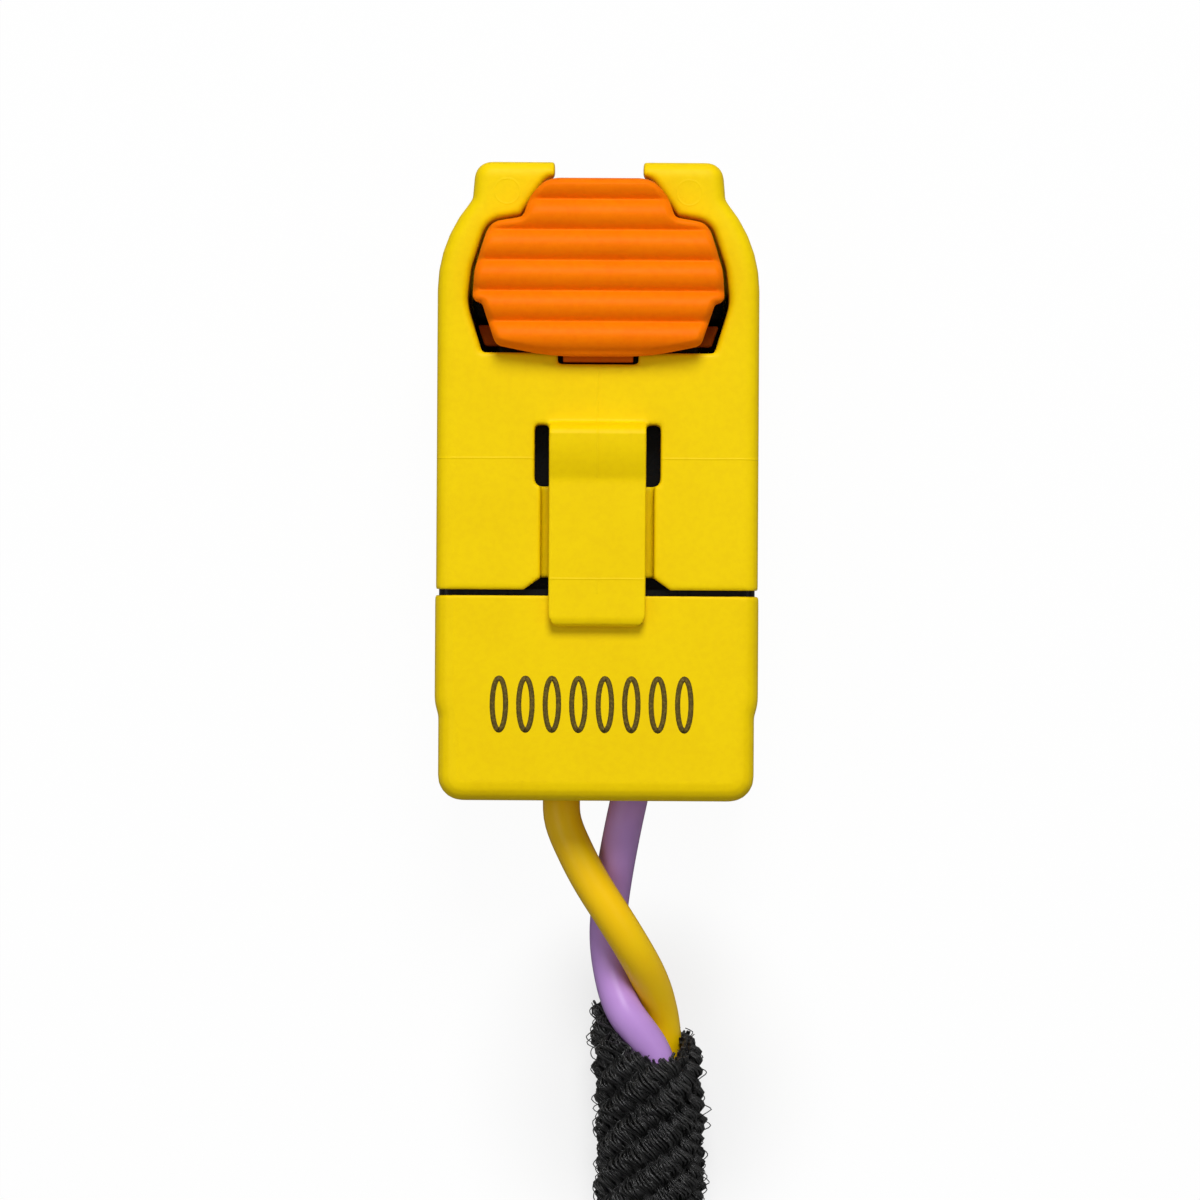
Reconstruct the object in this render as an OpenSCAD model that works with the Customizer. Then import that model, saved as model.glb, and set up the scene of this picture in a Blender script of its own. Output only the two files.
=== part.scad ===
// Two-way in-line plug with a latch strap, a push-in lock, a rear cap and a sleeved pigtail.
// Millimetres. +Y is the mating end, +Z the front face; the flat back lies on z = 0.
// The origin is under the middle of the plug, without its pigtail.

/* [Overall] */
// Length from the cap's rear face to the front of the ears
overall_l = 31.84; // [31.4:0.02:33]
// Width across the housing
body_w = 16.04; // [15.8:0.02:17]
// Height of the housing's front face above the back
body_h = 11.6; // [11.4:0.1:12.6]
// Place of the housing's rear edge, measured back from the middle
seam_y = 5.5; // [4.8:0.1:6]
// Gap between the housing and the rear cap
seam_gap = 0.28; // [0.15:0.01:0.5]

/* [Housing shell] */
// Side wall of the housing
side_wall = 1.35; // [1.1:0.05:1.5]
// Back wall of the housing
back_wall = 1.2; // [1:0.05:1.4]
// Front wall of the housing, which carries the strap and the lock
front_wall = 1.9; // [1.7:0.05:2.1]
// Rounding along the front edges
edge_r = 0.7; // [0.3:0.05:0.9]
// Rounding along the back edges
back_r = 0.45; // [0.2:0.05:0.6]
// Radius of the head's shoulders
head_r = 7; // [6:0.1:8]
// Angle that each shoulder turns through
head_turn = 38.4; // [34:0.2:42]
// Height of the ears
ear_h = 3.2; // [2.4:0.1:4]
// Gap between the two ears
ear_gap = 4.44; // [4:0.02:4.8]
// Draft of each ear's outer side over its length
ear_draft = 0.16; // [0:0.02:0.3]
// Rounding of the ears' outer corners
ear_r = 0.85; // [0.4:0.05:1.1]

/* [Lock window] */
// Place of the window's straight rear edge
window_y = 6.48; // [6.3:0.02:6.7]
// Half of the window's width at its rear edge
window_foot = 5.87; // [5.6:0.01:6]
// Half of the window's greatest width
window_side = 6.6; // [6.5:0.01:6.66]
// Clearance between the window and the lock's pad
pad_clear = 0.17; // [0.1:0.01:0.25]
// Width of the notch for the lock's tongue
notch_w = 4.04; // [3.8:0.02:4.4]
// Depth of the notch behind the window
notch_l = 0.58; // [0.4:0.02:0.8]

/* [Lock] */
// Greatest width of the lock's pad
pad_w = 12.72; // [12.6:0.02:12.76]
// Length of the lock's pad
pad_l = 8.81; // [8.75:0.01:8.85]
// Place of the pad's rear edge in front of the middle
pad_y = 6.23; // [6.2:0.01:6.26]
// Height that the lock's ribs stand above the front face
pad_proud = 1.5; // [1.1:0.05:2]
// Length of each rib
rib_l = 1.51; // [1.4:0.01:1.6]
// Number of ribs
ribs = 6; // [4:1:6]
// Depth of the valleys between ribs
rib_h = 0.34; // [0.2:0.02:0.5]
// Free edge round the ribs
rib_rim = 0.32; // [0.3:0.02:0.5]
// Gap between the housing's face and the lip of the pad
lip_gap = 0.15; // [0.1:0.01:0.3]
// Width of the tongue in the notch
tongue_w = 3.56; // [3.2:0.02:3.6]
// Travel of the lock from locked to open
lock_travel = 2; // [1:0.1:2.4]
// Thickness of the lock's two legs
leg_t = 0.5; // [0.4:0.05:0.6]

/* [Latch strap] */
// Width of the strap
strap_w = 4.85; // [4.4:0.05:5]
// Place of the strap's root on the front face
strap_root = 2.95; // [2.8:0.05:3.4]
// Place of the strap's free end, measured back from the middle
strap_end = 7.22; // [6.6:0.02:7.6]
// Thickness of the strap's flat run
strap_t = 0.7; // [0.5:0.05:0.9]
// Height of the hump at the root above the front face
hump = 1; // [0.8:0.05:1.3]
// Place of the crease where the slope meets the flat run
crease_y = 0.2; // [0:0.05:0.6]
// Clearance on each side of the strap in its recess
strap_clear = 0.4; // [0.3:0.02:0.5]
// Depth of the recess below the front face
recess_depth = 0.95; // [0.8:0.05:1.1]
// Length of the slots beside the strap's root
slot_l = 3.05; // [2.6:0.05:3.4]
// How far each slot reaches past the recess
slot_out = 0.33; // [0.2:0.01:0.4]

/* [Rear cap] */
// How far each side of the cap stands past the housing
cap_proud = 0.03; // [0:0.01:0.1]
// Height of the cap
cap_h = 11.3; // [11.1:0.05:11.4]
// Wall of the cap
cap_wall = 1.2; // [1:0.05:1.4]
// Front wall of the cap
cap_face = 1.6; // [1.5:0.05:1.8]
// Rear wall of the cap
cap_end = 1.4; // [1.1:0.05:1.8]
// Step in the cap's sides
cap_step = 0.19; // [0.1:0.01:0.3]
// Place of the step, measured forward from the rear face
cap_step_y = 4.2; // [3.6:0.1:5]
// Rounding of the rear corners
cap_r = 1.2; // [0.8:0.05:1.6]
// Rounding along the cap's front edges
cap_edge = 0.9; // [0.5:0.05:1.1]

/* [Inner housing] */
// Clearance between the inner housing and the shells
fit = 0.25; // [0.15:0.05:0.35]
// How far the inner housing's shroud stays behind the front of the ears
shroud_back = 5.62; // [5.2:0.02:6.2]
// Depth of the channel round the nose
moat_l = 5.8; // [5:0.1:6.4]
// Width of the channel round the nose
moat_w = 1.1; // [0.9:0.05:1.2]
// Wall of the shroud
shroud_wall = 1.25; // [1.1:0.05:1.4]
// How far the open retainer stays behind the front of the ears
nose_back = 0.8; // [0.5:0.1:1.4]
// Width of each contact chamber
chamber_w = 2.5; // [2.4:0.05:2.7]
// Height of each contact chamber
chamber_h = 2.9; // [2.8:0.05:3.1]

/* [Front retainer] */
// Thickness of the retainer's plate
retainer_t = 0.8; // [0.6:0.05:1]
// Diameter of the pin entries
entry_d = 1.3; // [1.2:0.05:1.5]
// Travel of the retainer from locked to open
retainer_travel = 0.8; // [0.4:0.1:1]
// Length of the retainer's side arms
arm_l = 2.6; // [1.8:0.1:2.9]
// Thickness of the retainer's side arms
arm_t = 0.5; // [0.4:0.05:0.6]
// Width of the retainer's side arms
arm_w = 2.4; // [1.6:0.1:3]

/* [Contacts] */
// Spacing of the two circuits
pitch = 3.5; // [3.4:0.05:3.7]
// Width of each contact's box
box_w = 2.1; // [2:0.05:2.2]
// Height of each contact's box
box_h = 2.3; // [2.2:0.05:2.5]
// Length of each contact's box
box_l = 7; // [6:0.1:7.4]
// Sheet thickness of the contacts
sheet_t = 0.25; // [0.2:0.01:0.3]
// Width of the strip that joins the box and the crimps
strip_w = 1; // [0.8:0.1:1.2]
// Length of the strip between the box and the crimp
neck_l = 1.2; // [1:0.1:1.6]
// Length of the conductor crimp
crimp_l = 2.4; // [2:0.1:2.8]
// Length of the insulation crimp
grip_l = 2; // [1.6:0.1:2.2]
// Sheet thickness of the springs
spring_t = 0.15; // [0.12:0.01:0.2]

/* [Wires and ferrite] */
// Diameter of each wire over its insulation
wire_d = 1.9; // [1.8:0.05:2]
// Diameter of each wire's stranded core
core_d = 1.1; // [1:0.05:1.2]
// Clearance round each wire in its bores
wire_clear = 0.12; // [0.1:0.01:0.15]
// Length of the ferrite core
ferrite_l = 4.6; // [4:0.1:4.8]
// Space between the ferrite core and the inner housing
ferrite_gap = 0.9; // [0.5:0.1:1.4]

/* [Pigtail] */
// Diameter of the braided sleeve
sleeve_d = 5.8; // [5.4:0.1:6]
// Radius of the coil's outer turn at its centreline
coil_r = 29; // [28:0.5:32]
// Turns of the coil
coil_turns = 1.5; // [1.5:0.1:1.6]
// Width of the tie round the coil
tie_w = 3; // [2:0.1:4]
// Thickness of the tie
tie_t = 0.4; // [0.3:0.05:0.6]

/* [Hidden] */

YELLOW = "#f2d40a";
ORANGE = "#ff7a0a";
BLACK = "#17171a";
STEEL = "#b8bcc0";
BRASS = "#c9a04c";
COPPER = "#b8673a";
FERRITE = "#3c3d40";
NYLON = "#222326";
WIRE_YELLOW = "#f5c400";
VIOLET = "#a878c0";

SMALL = 0.01;
OVER = 1;
CORNER_STEPS = 5;
EDGE_STEPS = 4;

front_y = overall_l / 2;
rear_y = -overall_l / 2;
half_w = body_w / 2;
seam = -seam_y;
cap_front = seam - seam_gap;

// Head: a long shoulder arc that ends at the neck of each ear
shoulder_y = 9.6;
neck_run = 0.17;
shoulder_reach = head_r * tan(head_turn / 2);
shoulder = [half_w, shoulder_y + shoulder_reach];
neck = shoulder + (shoulder_reach + neck_run) * [-sin(head_turn), cos(head_turn)];
ear_z = body_h - ear_h;
face_front = neck.y - 0.1;

// Space inside the housing
room_half = half_w - side_wall;
room_top = body_h - front_wall;
room_r = 1;

// Lock's pad, half of its outline from the rear edge forwards. Each corner has its share of the
// half width, its share of the length and its radius.
PAD_SHAPE = [[0.393, 0, 12], [0.813, 0.061, 0.5], [0.924, 0.298, 0.12], [1, 0.304, 0.35],
    [0.983, 0.485, 3], [0.868, 0.75, 0.9], [0.607, 0.78, 0.4], [0.393, 1, 0.6]];
pad_half = [for (p = PAD_SHAPE) [p.x * pad_w / 2, pad_y + p.y * pad_l, p.z * pad_w / 12.72]];
PAD_SHOULDER = 5;
rib_front = pad_y + pad_l + 0.3 * rib_l;
pad_outline = both_sides(pad_half);
pad_top = body_h + pad_proud;
pad_z = body_h + lip_gap;
pad_mid = pad_z + 0.5;
pad_ledge = 0.1;
stem_inset = 0.3;

window_half = concat(
    [[window_foot, window_y, 0.1], [window_side + 0.06, pad_half[3].y + 0.04, 2.2],
        [window_side - 0.14, pad_half[4].y + 0.1, 1.5]],
    [for (i = [PAD_SHOULDER : len(pad_half) - 1]) inset(pad_outline, -pad_clear)[i]]);

// Inner housing
inner_half = room_half - fit;
inner_low = max(back_wall, cap_wall) + fit;
inner_top = min(room_top, cap_h - cap_face) - fit;
axis_z = (inner_low + inner_top) / 2 + 0.35;
circuit_x = pitch / 2;
shroud_y = front_y - shroud_back;
moat_half = inner_half - shroud_wall;
moat_wall = 0.75;
moat_low = inner_low + moat_wall;
moat_top = inner_top - moat_wall;
nose_half = moat_half - moat_w;
nose_low = moat_low + moat_w;
nose_top = moat_top - moat_w;
moat_y = shroud_y - moat_l;
retainer_gap = 0.05;
nose_y = front_y - nose_back - retainer_travel - retainer_t - retainer_gap;
stem_z = inner_top + fit;
leg_hold = 3.85;
leg_z = inner_top - lock_travel - leg_hold;
leg_y0 = window_y + 0.32;
leg_y1 = leg_y0 + 1.05;
leg_x0 = window_foot - 0.12;
leg_x1 = window_side - 0.48;
web_x = 4.4;
leg_room = 0.35;

// Shorting clip, behind the channel and under the chambers
clip_half = circuit_x + 0.7;
clip_y1 = moat_y - 0.7;
clip_y0 = clip_y1 - 2.7;
clip_z = axis_z - chamber_h / 2 - 1.5;
clip_strip = 0.9;
clip_room = 0.2;

// Strap
strap_low = cap_h + 0.1;
strap_top = strap_low + strap_t;
slot_y0 = strap_root - slot_l;
recess_half = strap_w / 2 + strap_clear;
slot_half = recess_half + slot_out;
recess_end = seam + 0.55;
slot_end = 0.1;
strap_tip = 0.35;

// Contacts, from their front end backwards
box_y1 = nose_y - 0.6;
box_y0 = box_y1 - box_l;
crimp_y1 = box_y0 - neck_l;
crimp_y0 = crimp_y1 - crimp_l;
grip_y1 = crimp_y0 - 0.5;
grip_y0 = grip_y1 - grip_l;
floor_z = axis_z - box_h / 2;
crimp_slack = 0.03;
bore_r = wire_d / 2 + wire_clear;

// Space inside the cap
cap_half = half_w + cap_proud;
cap_room_half = cap_half - cap_wall;
cap_room_y = rear_y + cap_end;
step_run = 0.7;
ferrite_y0 = cap_room_y + fit;
tail_y = ferrite_y0 + ferrite_l + ferrite_gap;

// Pigtail: hand-placed routes of the two wires from the cap to the sleeve's mouth
mouth_y = -28.9;
sleeve_x = 2.9;
sleeve_z = sleeve_d / 2;
lead_y = -41.5;
coil_c = [sleeve_x - coil_r, -70.4];
coil_inner = coil_r - coil_turns * sleeve_d;
ring_in = coil_inner - sleeve_d / 2;
ring_out = coil_r + sleeve_d / 2;
tie_turn = tie_w / coil_r * 180 / PI;
tie_slack = 0.3;
YELLOW_ROUTE = [[-circuit_x, rear_y, axis_z], [-1.9, -17, 5.9], [-1.55, -18.4, 6], [-0.7, -20, 6.1],
    [0.6, -22.2, 6], [1.6, -23.8, 5.5], [2.7, -25.9, 4.1], [3.5, -27.8, 2.8], [3.75, mouth_y, 2.3]];
VIOLET_ROUTE = [[circuit_x, rear_y, axis_z], [1.6, -17, 5.7], [1.15, -19.2, 5], [0.75, -21.4, 3.9],
    [0.55, -23.4, 3.3], [0.6, -25.3, 3.1], [1.2, -27.2, 3.5], [2.3, mouth_y, 3.95]];
LEAD_ROUTE = [[2.6, mouth_y, sleeve_z], [2.85, -33, sleeve_z], [sleeve_x, -37, sleeve_z],
    [sleeve_x, lead_y, sleeve_z]];
TAIL_TURN = 150;
tail_r = ring_in - wire_d / 2 - 0.3;
tail_z = wire_d / 2;
core_z = tail_z;
bare_l = 6;
YELLOW_TAIL = [for (p = [[0, 0], [12, 1.2], [24, 3.4], [36, 6.2]]) polar(TAIL_TURN - p.x, tail_r - p.y)];
VIOLET_TAIL = [for (p = [[0, 2.6], [12, 4.7], [25, 7.6], [40, 10.6]]) polar(TAIL_TURN - p.x, tail_r - p.y)];

// A point beside the coil's centre at wire height
function polar(turn, r) = [coil_c.x + r * cos(turn), coil_c.y + r * sin(turn), tail_z];

// Both halves of a symmetrical outline, in turning order
function both_sides(half) =
    concat(half, [for (i = [len(half) - 1 : -1 : 0]) [-half[i].x, half[i].y, half[i].z]]);

function unit(v) = v / norm(v);
function flat(p) = [p.x, p.y];
function next(list, i) = flat(list[(i + 1) % len(list)]);
function before(list, i) = flat(list[(i + len(list) - 1) % len(list)]);

// The outline moved inwards by d, with every round corner's radius changed to match
function inset(list, d) = [for (i = [0 : len(list) - 1])
    let (p = flat(list[i]), u = unit(before(list, i) - p), v = unit(next(list, i) - p),
        side = sign(cross(p - before(list, i), next(list, i) - p)),
        half = acos(u * v) / 2, q = p + side * unit(u + v) * d / sin(half))
    [q.x, q.y, list[i].z == 0 ? 0 : max(list[i].z - side * d, 0.02)]];

// The outline's points, with an arc at each corner that has a radius
function rounded(list) = [for (i = [0 : len(list) - 1])
    if (list[i].z == 0) flat(list[i]) else
    let (p = flat(list[i]), u = unit(before(list, i) - p), v = unit(next(list, i) - p),
        side = sign(cross(p - before(list, i), next(list, i) - p)),
        half = acos(u * v) / 2, r = list[i].z, c = p + unit(u + v) * r / sin(half),
        s = p + u * r / tan(half) - c, first = atan2(s.y, s.x))
        for (k = [0 : CORNER_STEPS])
            let (a = first + side * (180 - 2 * half) * k / CORNER_STEPS) c + r * [cos(a), sin(a)]];

// A quarter round's rise and inset, from the side face to the flat one
function edge_round(r) = [for (k = [0 : EDGE_STEPS]) let (a = 90 * k / EDGE_STEPS)
    r * [1 - sin(a), 1 - cos(a)]];

// A slab on an outline, with its lower and upper edges rounded by r0 and r1, apart from its end
// at end_y, which stays flat
module soft_slab(list, z0, z1, r0, r1, end_y) {
    low = r0 > 0 ? [for (k = [EDGE_STEPS : -1 : 0]) [z0 + edge_round(r0)[k][0], edge_round(r0)[k][1]]]
        : [[z0, 0]];
    high = r1 > 0 ? [for (step = edge_round(r1)) [z1 - step[0], step[1]]] : [[z1, 0]];
    rings = concat(low, high);
    n = len(rounded(list));
    points = [for (ring = rings) for (p = rounded(inset(list, ring[1])))
        [p.x, abs(p.y - end_y) < ring[1] + SMALL ? end_y : p.y, ring[0]]];
    top = (len(rings) - 1) * n;
    polyhedron(points, concat(
        [[for (i = [0 : n - 1]) i]],
        [for (k = [0 : len(rings) - 2]) for (i = [0 : n - 1]) let (j = (i + 1) % n)
            each [[k * n + i, (k + 1) * n + i, (k + 1) * n + j], [k * n + i, (k + 1) * n + j, k * n + j]]],
        [[for (i = [n - 1 : -1 : 0]) top + i]]));
}

// A prism on an outline
module slab(list, z0, z1) {
    translate([0, 0, z0]) linear_extrude(z1 - z0) polygon(rounded(list));
}

// A bar along Y with a rounded section
module bar(half, z0, z1, y0, y1, r) {
    translate([0, y1, 0]) rotate([90, 0, 0]) linear_extrude(y1 - y0)
        polygon(rounded([[half, z0, r], [half, z1, r], [-half, z1, r], [-half, z0, r]]));
}

// A block between two corners
module block(from, to) {
    translate(from) cube(to - from);
}

// A round bar or bore along Y
module round_bar(x, z, r, y0, y1) {
    translate([x, y1, z]) rotate([90, 0, 0]) cylinder(r = r, h = y1 - y0, $fn = 48);
}

// A profile in the YZ plane, as wide as w
module side_profile(w, points) {
    translate([w / 2, 0, 0]) rotate([90, 0, -90]) linear_extrude(w)
        polygon([for (p = points) [-p.x, p.y]]);
}

// A tube along a route, as one polyhedron. Its ends are square to the route, or to Y if flush.
module tube(route, d, sides = 8, flush = false) {
    r = d / 2;
    last = len(route) - 1;
    rings = [for (i = [0 : last])
        let (t = flush && (i == 0 || i == last) ? [0, -1, 0]
            : unit(route[min(i + 1, last)] - route[max(i - 1, 0)]),
            side = unit(cross(t, [0, 0, 1])), up = cross(side, t))
        [for (k = [0 : sides - 1]) let (a = 360 * (k + 0.5) / sides)
            route[i] + r * (cos(a) * side + sin(a) * up)]];
    polyhedron([for (ring = rings) each ring], concat(
        [[for (k = [sides - 1 : -1 : 0]) k]],
        [for (i = [0 : last - 1]) for (k = [0 : sides - 1]) let (m = (k + 1) % sides)
            each [[i * sides + k, i * sides + m, (i + 1) * sides + m],
                [i * sides + k, (i + 1) * sides + m, (i + 1) * sides + k]]],
        [[for (k = [0 : sides - 1]) last * sides + k]]));
}

module outer_housing() color(YELLOW) {
    shell_tail = [half_w, seam, 0];
    body_half = [shell_tail, [shoulder.x, shoulder.y, head_r], [neck.x + 0.12, face_front, 0.1]];
    head_half = [shell_tail, [shoulder.x, shoulder.y, head_r], [neck.x, neck.y, 0.3],
        [neck.x - ear_draft, front_y, ear_r]];
    difference() {
        union() {
            soft_slab(both_sides(body_half), 0, ear_z, back_r, 0, seam);
            soft_slab(both_sides(head_half), ear_z, body_h, 0, edge_r, seam);
        }
        housing_room();
        slab(both_sides(window_half), room_top - OVER, body_h + OVER);
        block([-notch_w / 2, window_y - notch_l, room_top - OVER],
            [notch_w / 2, window_y + OVER, body_h + OVER]);
        block([-ear_gap / 2, front_y - 2, ear_z - OVER], [ear_gap / 2, front_y + OVER, body_h + OVER]);
        strap_recess();
    }
    latch_strap();
}

// The hollow that runs right through the housing
module housing_room() {
    outer = [[half_w, seam - 4, 0.1], [shoulder.x, shoulder.y, head_r], [neck.x, neck.y, 0.3],
        [neck.x - SMALL, front_y + 4, 0.1]];
    intersection() {
        slab(inset(both_sides(outer), side_wall), back_wall - OVER, room_top + OVER);
        bar(room_half, back_wall, room_top, seam - OVER, front_y + OVER, room_r);
    }
}

// The opening round the strap's root, the shallow recess behind it and its flared mouth
module strap_recess() {
    slab([[slot_half, slot_y0, 0.3], [slot_half, strap_root - slot_end, 0.15],
        [-slot_half, strap_root - slot_end, 0.15], [-slot_half, slot_y0, 0.3]], room_top - OVER, body_h + OVER);
    block([-recess_half, seam - OVER, body_h - recess_depth], [recess_half, slot_y0 + SMALL, body_h + OVER]);
    slab([[slot_half + 0.5, seam - OVER, 0.05], [slot_half + 0.5, seam + 0.02, 0.05],
        [recess_half, recess_end + 0.08, 0.1], [-recess_half, recess_end + 0.08, 0.1],
        [-slot_half - 0.5, seam + 0.02, 0.05], [-slot_half - 0.5, seam - OVER, 0.05]],
        room_top - OVER, body_h + OVER);
}

// The spring strap, which is moulded in one piece with the housing
module latch_strap() {
    hump_z = body_h + hump;
    hump_l = hump * 0.55;
    foot_z = body_h - 0.1;
    rise = [for (k = [0 : 4]) let (a = 90 * k / 4)
        [strap_root - hump_l * (1 - cos(a)), foot_z + (hump_z - foot_z) * sin(a)]];
    run = strap_root - hump_l - crease_y;
    fall = [for (k = [1 : 5]) let (t = k / 5)
        [crease_y + run * (1 - t), strap_top + (hump_z - strap_top) * (1 - t * t)]];
    under = body_h - 0.5;
    side_profile(strap_w, concat(
        [[-strap_end, strap_low], [crease_y - 0.6, strap_low], [strap_root - 0.6, under],
            [strap_root - slot_end, body_h - front_wall], [strap_root + 0.05, body_h - front_wall + 0.3],
            [strap_root + 0.05, foot_z - 0.1]],
        rise, fall,
        [[-strap_end + strap_tip, strap_top], [-strap_end + 0.3 * strap_tip, strap_top - 0.3 * strap_tip],
            [-strap_end, strap_top - strap_tip]]));
}

module rear_cap() color(YELLOW) {
    step_y = rear_y + cap_step_y;
    half = [[cap_half - cap_step, rear_y, cap_r], [cap_half - cap_step, step_y, 0.3],
        [cap_half, step_y + step_run, 2.4], [cap_half, cap_front, 0]];
    difference() {
        soft_slab(both_sides(half), 0, cap_h, back_r, cap_edge, cap_front);
        bar(cap_room_half, cap_wall, cap_h - cap_face, cap_room_y, cap_front + OVER, room_r);
        for (x = [-circuit_x, circuit_x]) round_bar(x, axis_z, bore_r, rear_y - OVER, cap_room_y + OVER);
    }
}

module lock_slide() color(ORANGE) {
    stem = inset(pad_outline, stem_inset);
    slab(pad_outline, pad_z, pad_top - rib_h - pad_ledge);
    intersection() {
        slab(inset(pad_outline, rib_rim), pad_mid, pad_top + OVER);
        rib_profile();
    }
    intersection() {
        slab(stem, stem_z, pad_mid - 0.2);
        block([-half_w, window_y + 0.25, 0], [half_w, front_y, pad_top]);
    }
    block([-tongue_w / 2, window_y - notch_l + 0.1, stem_z], [tongue_w / 2, window_y + 0.5, body_h - 0.3]);
    for (side = [-1, 1]) lock_leg(side);
}

// One row of ribs with a round back, laid across the pad
module rib_profile() {
    first = rib_front - ribs * rib_l;
    r = (rib_l * rib_l / 4 + rib_h * rib_h) / (2 * rib_h);
    half = asin(rib_l / 2 / r);
    arcs = [for (i = [0 : ribs - 1]) for (k = [(i == 0 ? 0 : 1) : 6])
        let (a = -half + 2 * half * k / 6)
        [first + rib_l * (i + 0.5) + r * sin(a), pad_top - r + r * cos(a)]];
    side_profile(2 * half_w, concat([[rib_front, pad_mid - 0.1], [first, pad_mid - 0.1]], arcs));
}

// A leg that reaches down past the inner housing, and the web that carries it
module lock_leg(side) {
    foot = [[leg_x0 - leg_t, leg_y0, 0.05], [leg_x0, leg_y0, 0.05], [leg_x1, leg_y1, 0.05],
        [leg_x1 - leg_t, leg_y1, 0.05]];
    web = [[web_x, leg_y0, 0.05], [leg_x0, leg_y0, 0.05], [leg_x1, leg_y1, 0.05], [web_x, leg_y1, 0.05]];
    mirror([side < 0 ? 1 : 0, 0, 0]) {
        slab(foot, leg_z, stem_z + 0.6);
        slab(web, stem_z, stem_z + 0.7);
    }
}

module inner_housing() color(BLACK) {
    difference() {
        union() {
            difference() {
                bar(inner_half, inner_low, inner_top, tail_y, shroud_y, 0.8);
                bar(moat_half, moat_low, moat_top, moat_y, shroud_y + OVER, 0.6);
            }
            bar(nose_half, nose_low, nose_top, moat_y - SMALL, nose_y, 0.5);
        }
        for (x = [-circuit_x, circuit_x])
            block([x - chamber_w / 2, tail_y - OVER, axis_z - chamber_h / 2],
                [x + chamber_w / 2, nose_y + OVER, axis_z + chamber_h / 2]);
        for (side = [-1, 1]) leg_pocket(side);
        clip_pocket();
    }
}

// Pockets for the lock's legs, open at the top and the side
module leg_pocket(side) {
    x0 = side > 0 ? moat_half - SMALL : -half_w;
    x1 = side > 0 ? half_w : -moat_half + SMALL;
    block([x0, leg_y0 - leg_room, leg_z - leg_room], [x1, leg_y1 + leg_room, inner_top + OVER]);
}

// Pocket for the shorting clip, open upwards into both chambers
module clip_pocket() {
    block([-clip_half - clip_room, clip_y0 - clip_room, clip_z - 0.15],
        [clip_half + clip_room, clip_y1 + clip_room, axis_z - chamber_h / 2 + SMALL]);
}

// A base strip with two fingers that rise against the contacts
module shorting_clip() color(STEEL) {
    block([-clip_half, clip_y0, clip_z], [clip_half, clip_y0 + clip_strip, clip_z + spring_t]);
    for (x = [-circuit_x, circuit_x]) translate([x, 0, 0]) side_profile(clip_strip, [
        [clip_y0, clip_z], [clip_y1 - 0.6, clip_z], [clip_y1, clip_z + 0.6],
        [clip_y1 - 0.9, clip_z + 1.35], [clip_y1 - 1.05, clip_z + 1.25],
        [clip_y1 - 0.2, clip_z + 0.6], [clip_y1 - 0.65, clip_z + spring_t], [clip_y0, clip_z + spring_t]]);
}

module front_retainer() color(BLACK) {
    y0 = nose_y + retainer_gap;
    z0 = axis_z - arm_w / 2;
    z1 = axis_z + arm_w / 2;
    difference() {
        bar(nose_half, nose_low, nose_top, y0, y0 + retainer_t, 0.5);
        for (x = [-circuit_x, circuit_x]) round_bar(x, axis_z, entry_d / 2, y0 - OVER, y0 + retainer_t + OVER);
    }
    for (side = [-1, 1]) {
        x = side * (nose_half + retainer_gap + arm_t / 2);
        block([x - arm_t / 2, y0 - arm_l, z0], [x + arm_t / 2, y0 + retainer_t, z1]);
        block([min(x, side * (nose_half - 0.3)), y0, z0],
            [max(x, side * (nose_half - 0.3)), y0 + retainer_t, z1]);
    }
}

// A sheet-metal contact: box, strip, conductor crimp and insulation crimp
module contact(x) {
    grip_r = wire_d / 2 + crimp_slack;
    core_r = core_d / 2 + crimp_slack;
    difference() {
        block([x - box_w / 2, box_y0, floor_z], [x + box_w / 2, box_y1, floor_z + box_h]);
        block([x - box_w / 2 + sheet_t, box_y0 - OVER, floor_z + sheet_t],
            [x + box_w / 2 - sheet_t, box_y1 + OVER, floor_z + box_h - sheet_t]);
    }
    difference() {
        block([x - strip_w / 2, grip_y0, floor_z], [x + strip_w / 2, box_y0 + SMALL, floor_z + sheet_t]);
        round_bar(x, axis_z, grip_r, grip_y0 - OVER, grip_y1 + OVER / 4);
    }
    barrel(x, core_r, crimp_y0, crimp_y1);
    barrel(x, grip_r, grip_y0, grip_y1);
}

// A crimped barrel on its standing strip
module barrel(x, r, y0, y1) {
    difference() {
        union() {
            round_bar(x, axis_z, r + sheet_t, y0, y1);
            block([x - strip_w / 2, y0, floor_z], [x + strip_w / 2, y1, axis_z - r / 2]);
        }
        round_bar(x, axis_z, r, y0 - OVER, y1 + OVER);
    }
}

module contact_left() color(BRASS) contact(-circuit_x);
module contact_right() color(BRASS) contact(circuit_x);

// A bowed steel spring under the roof of the contact's box
module contact_spring(x) {
    roof = floor_z + box_h - sheet_t - 0.03;
    y0 = box_y0 + 1.2;
    y1 = box_y1 - 0.6;
    low = roof - 0.32;
    translate([x, 0, 0]) side_profile(box_w - 2 * sheet_t - 0.3, [
        [y0, roof - spring_t], [y0 + 1.6, roof - spring_t], [(y0 + y1) / 2 - 0.6, low - spring_t],
        [(y0 + y1) / 2 + 0.6, low - spring_t], [y1 - 0.9, roof - spring_t], [y1, roof - spring_t],
        [y1, roof], [y1 - 1, roof], [(y0 + y1) / 2 + 0.6, low], [(y0 + y1) / 2 - 0.6, low],
        [y0 + 1.7, roof], [y0, roof]]);
}

module contact_spring_left() color(STEEL) contact_spring(-circuit_x);
module contact_spring_right() color(STEEL) contact_spring(circuit_x);

module conductor_left() color(COPPER) round_bar(-circuit_x, axis_z, core_d / 2, grip_y1, crimp_y1 + 0.3);
module conductor_right() color(COPPER) round_bar(circuit_x, axis_z, core_d / 2, grip_y1, crimp_y1 + 0.3);

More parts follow.
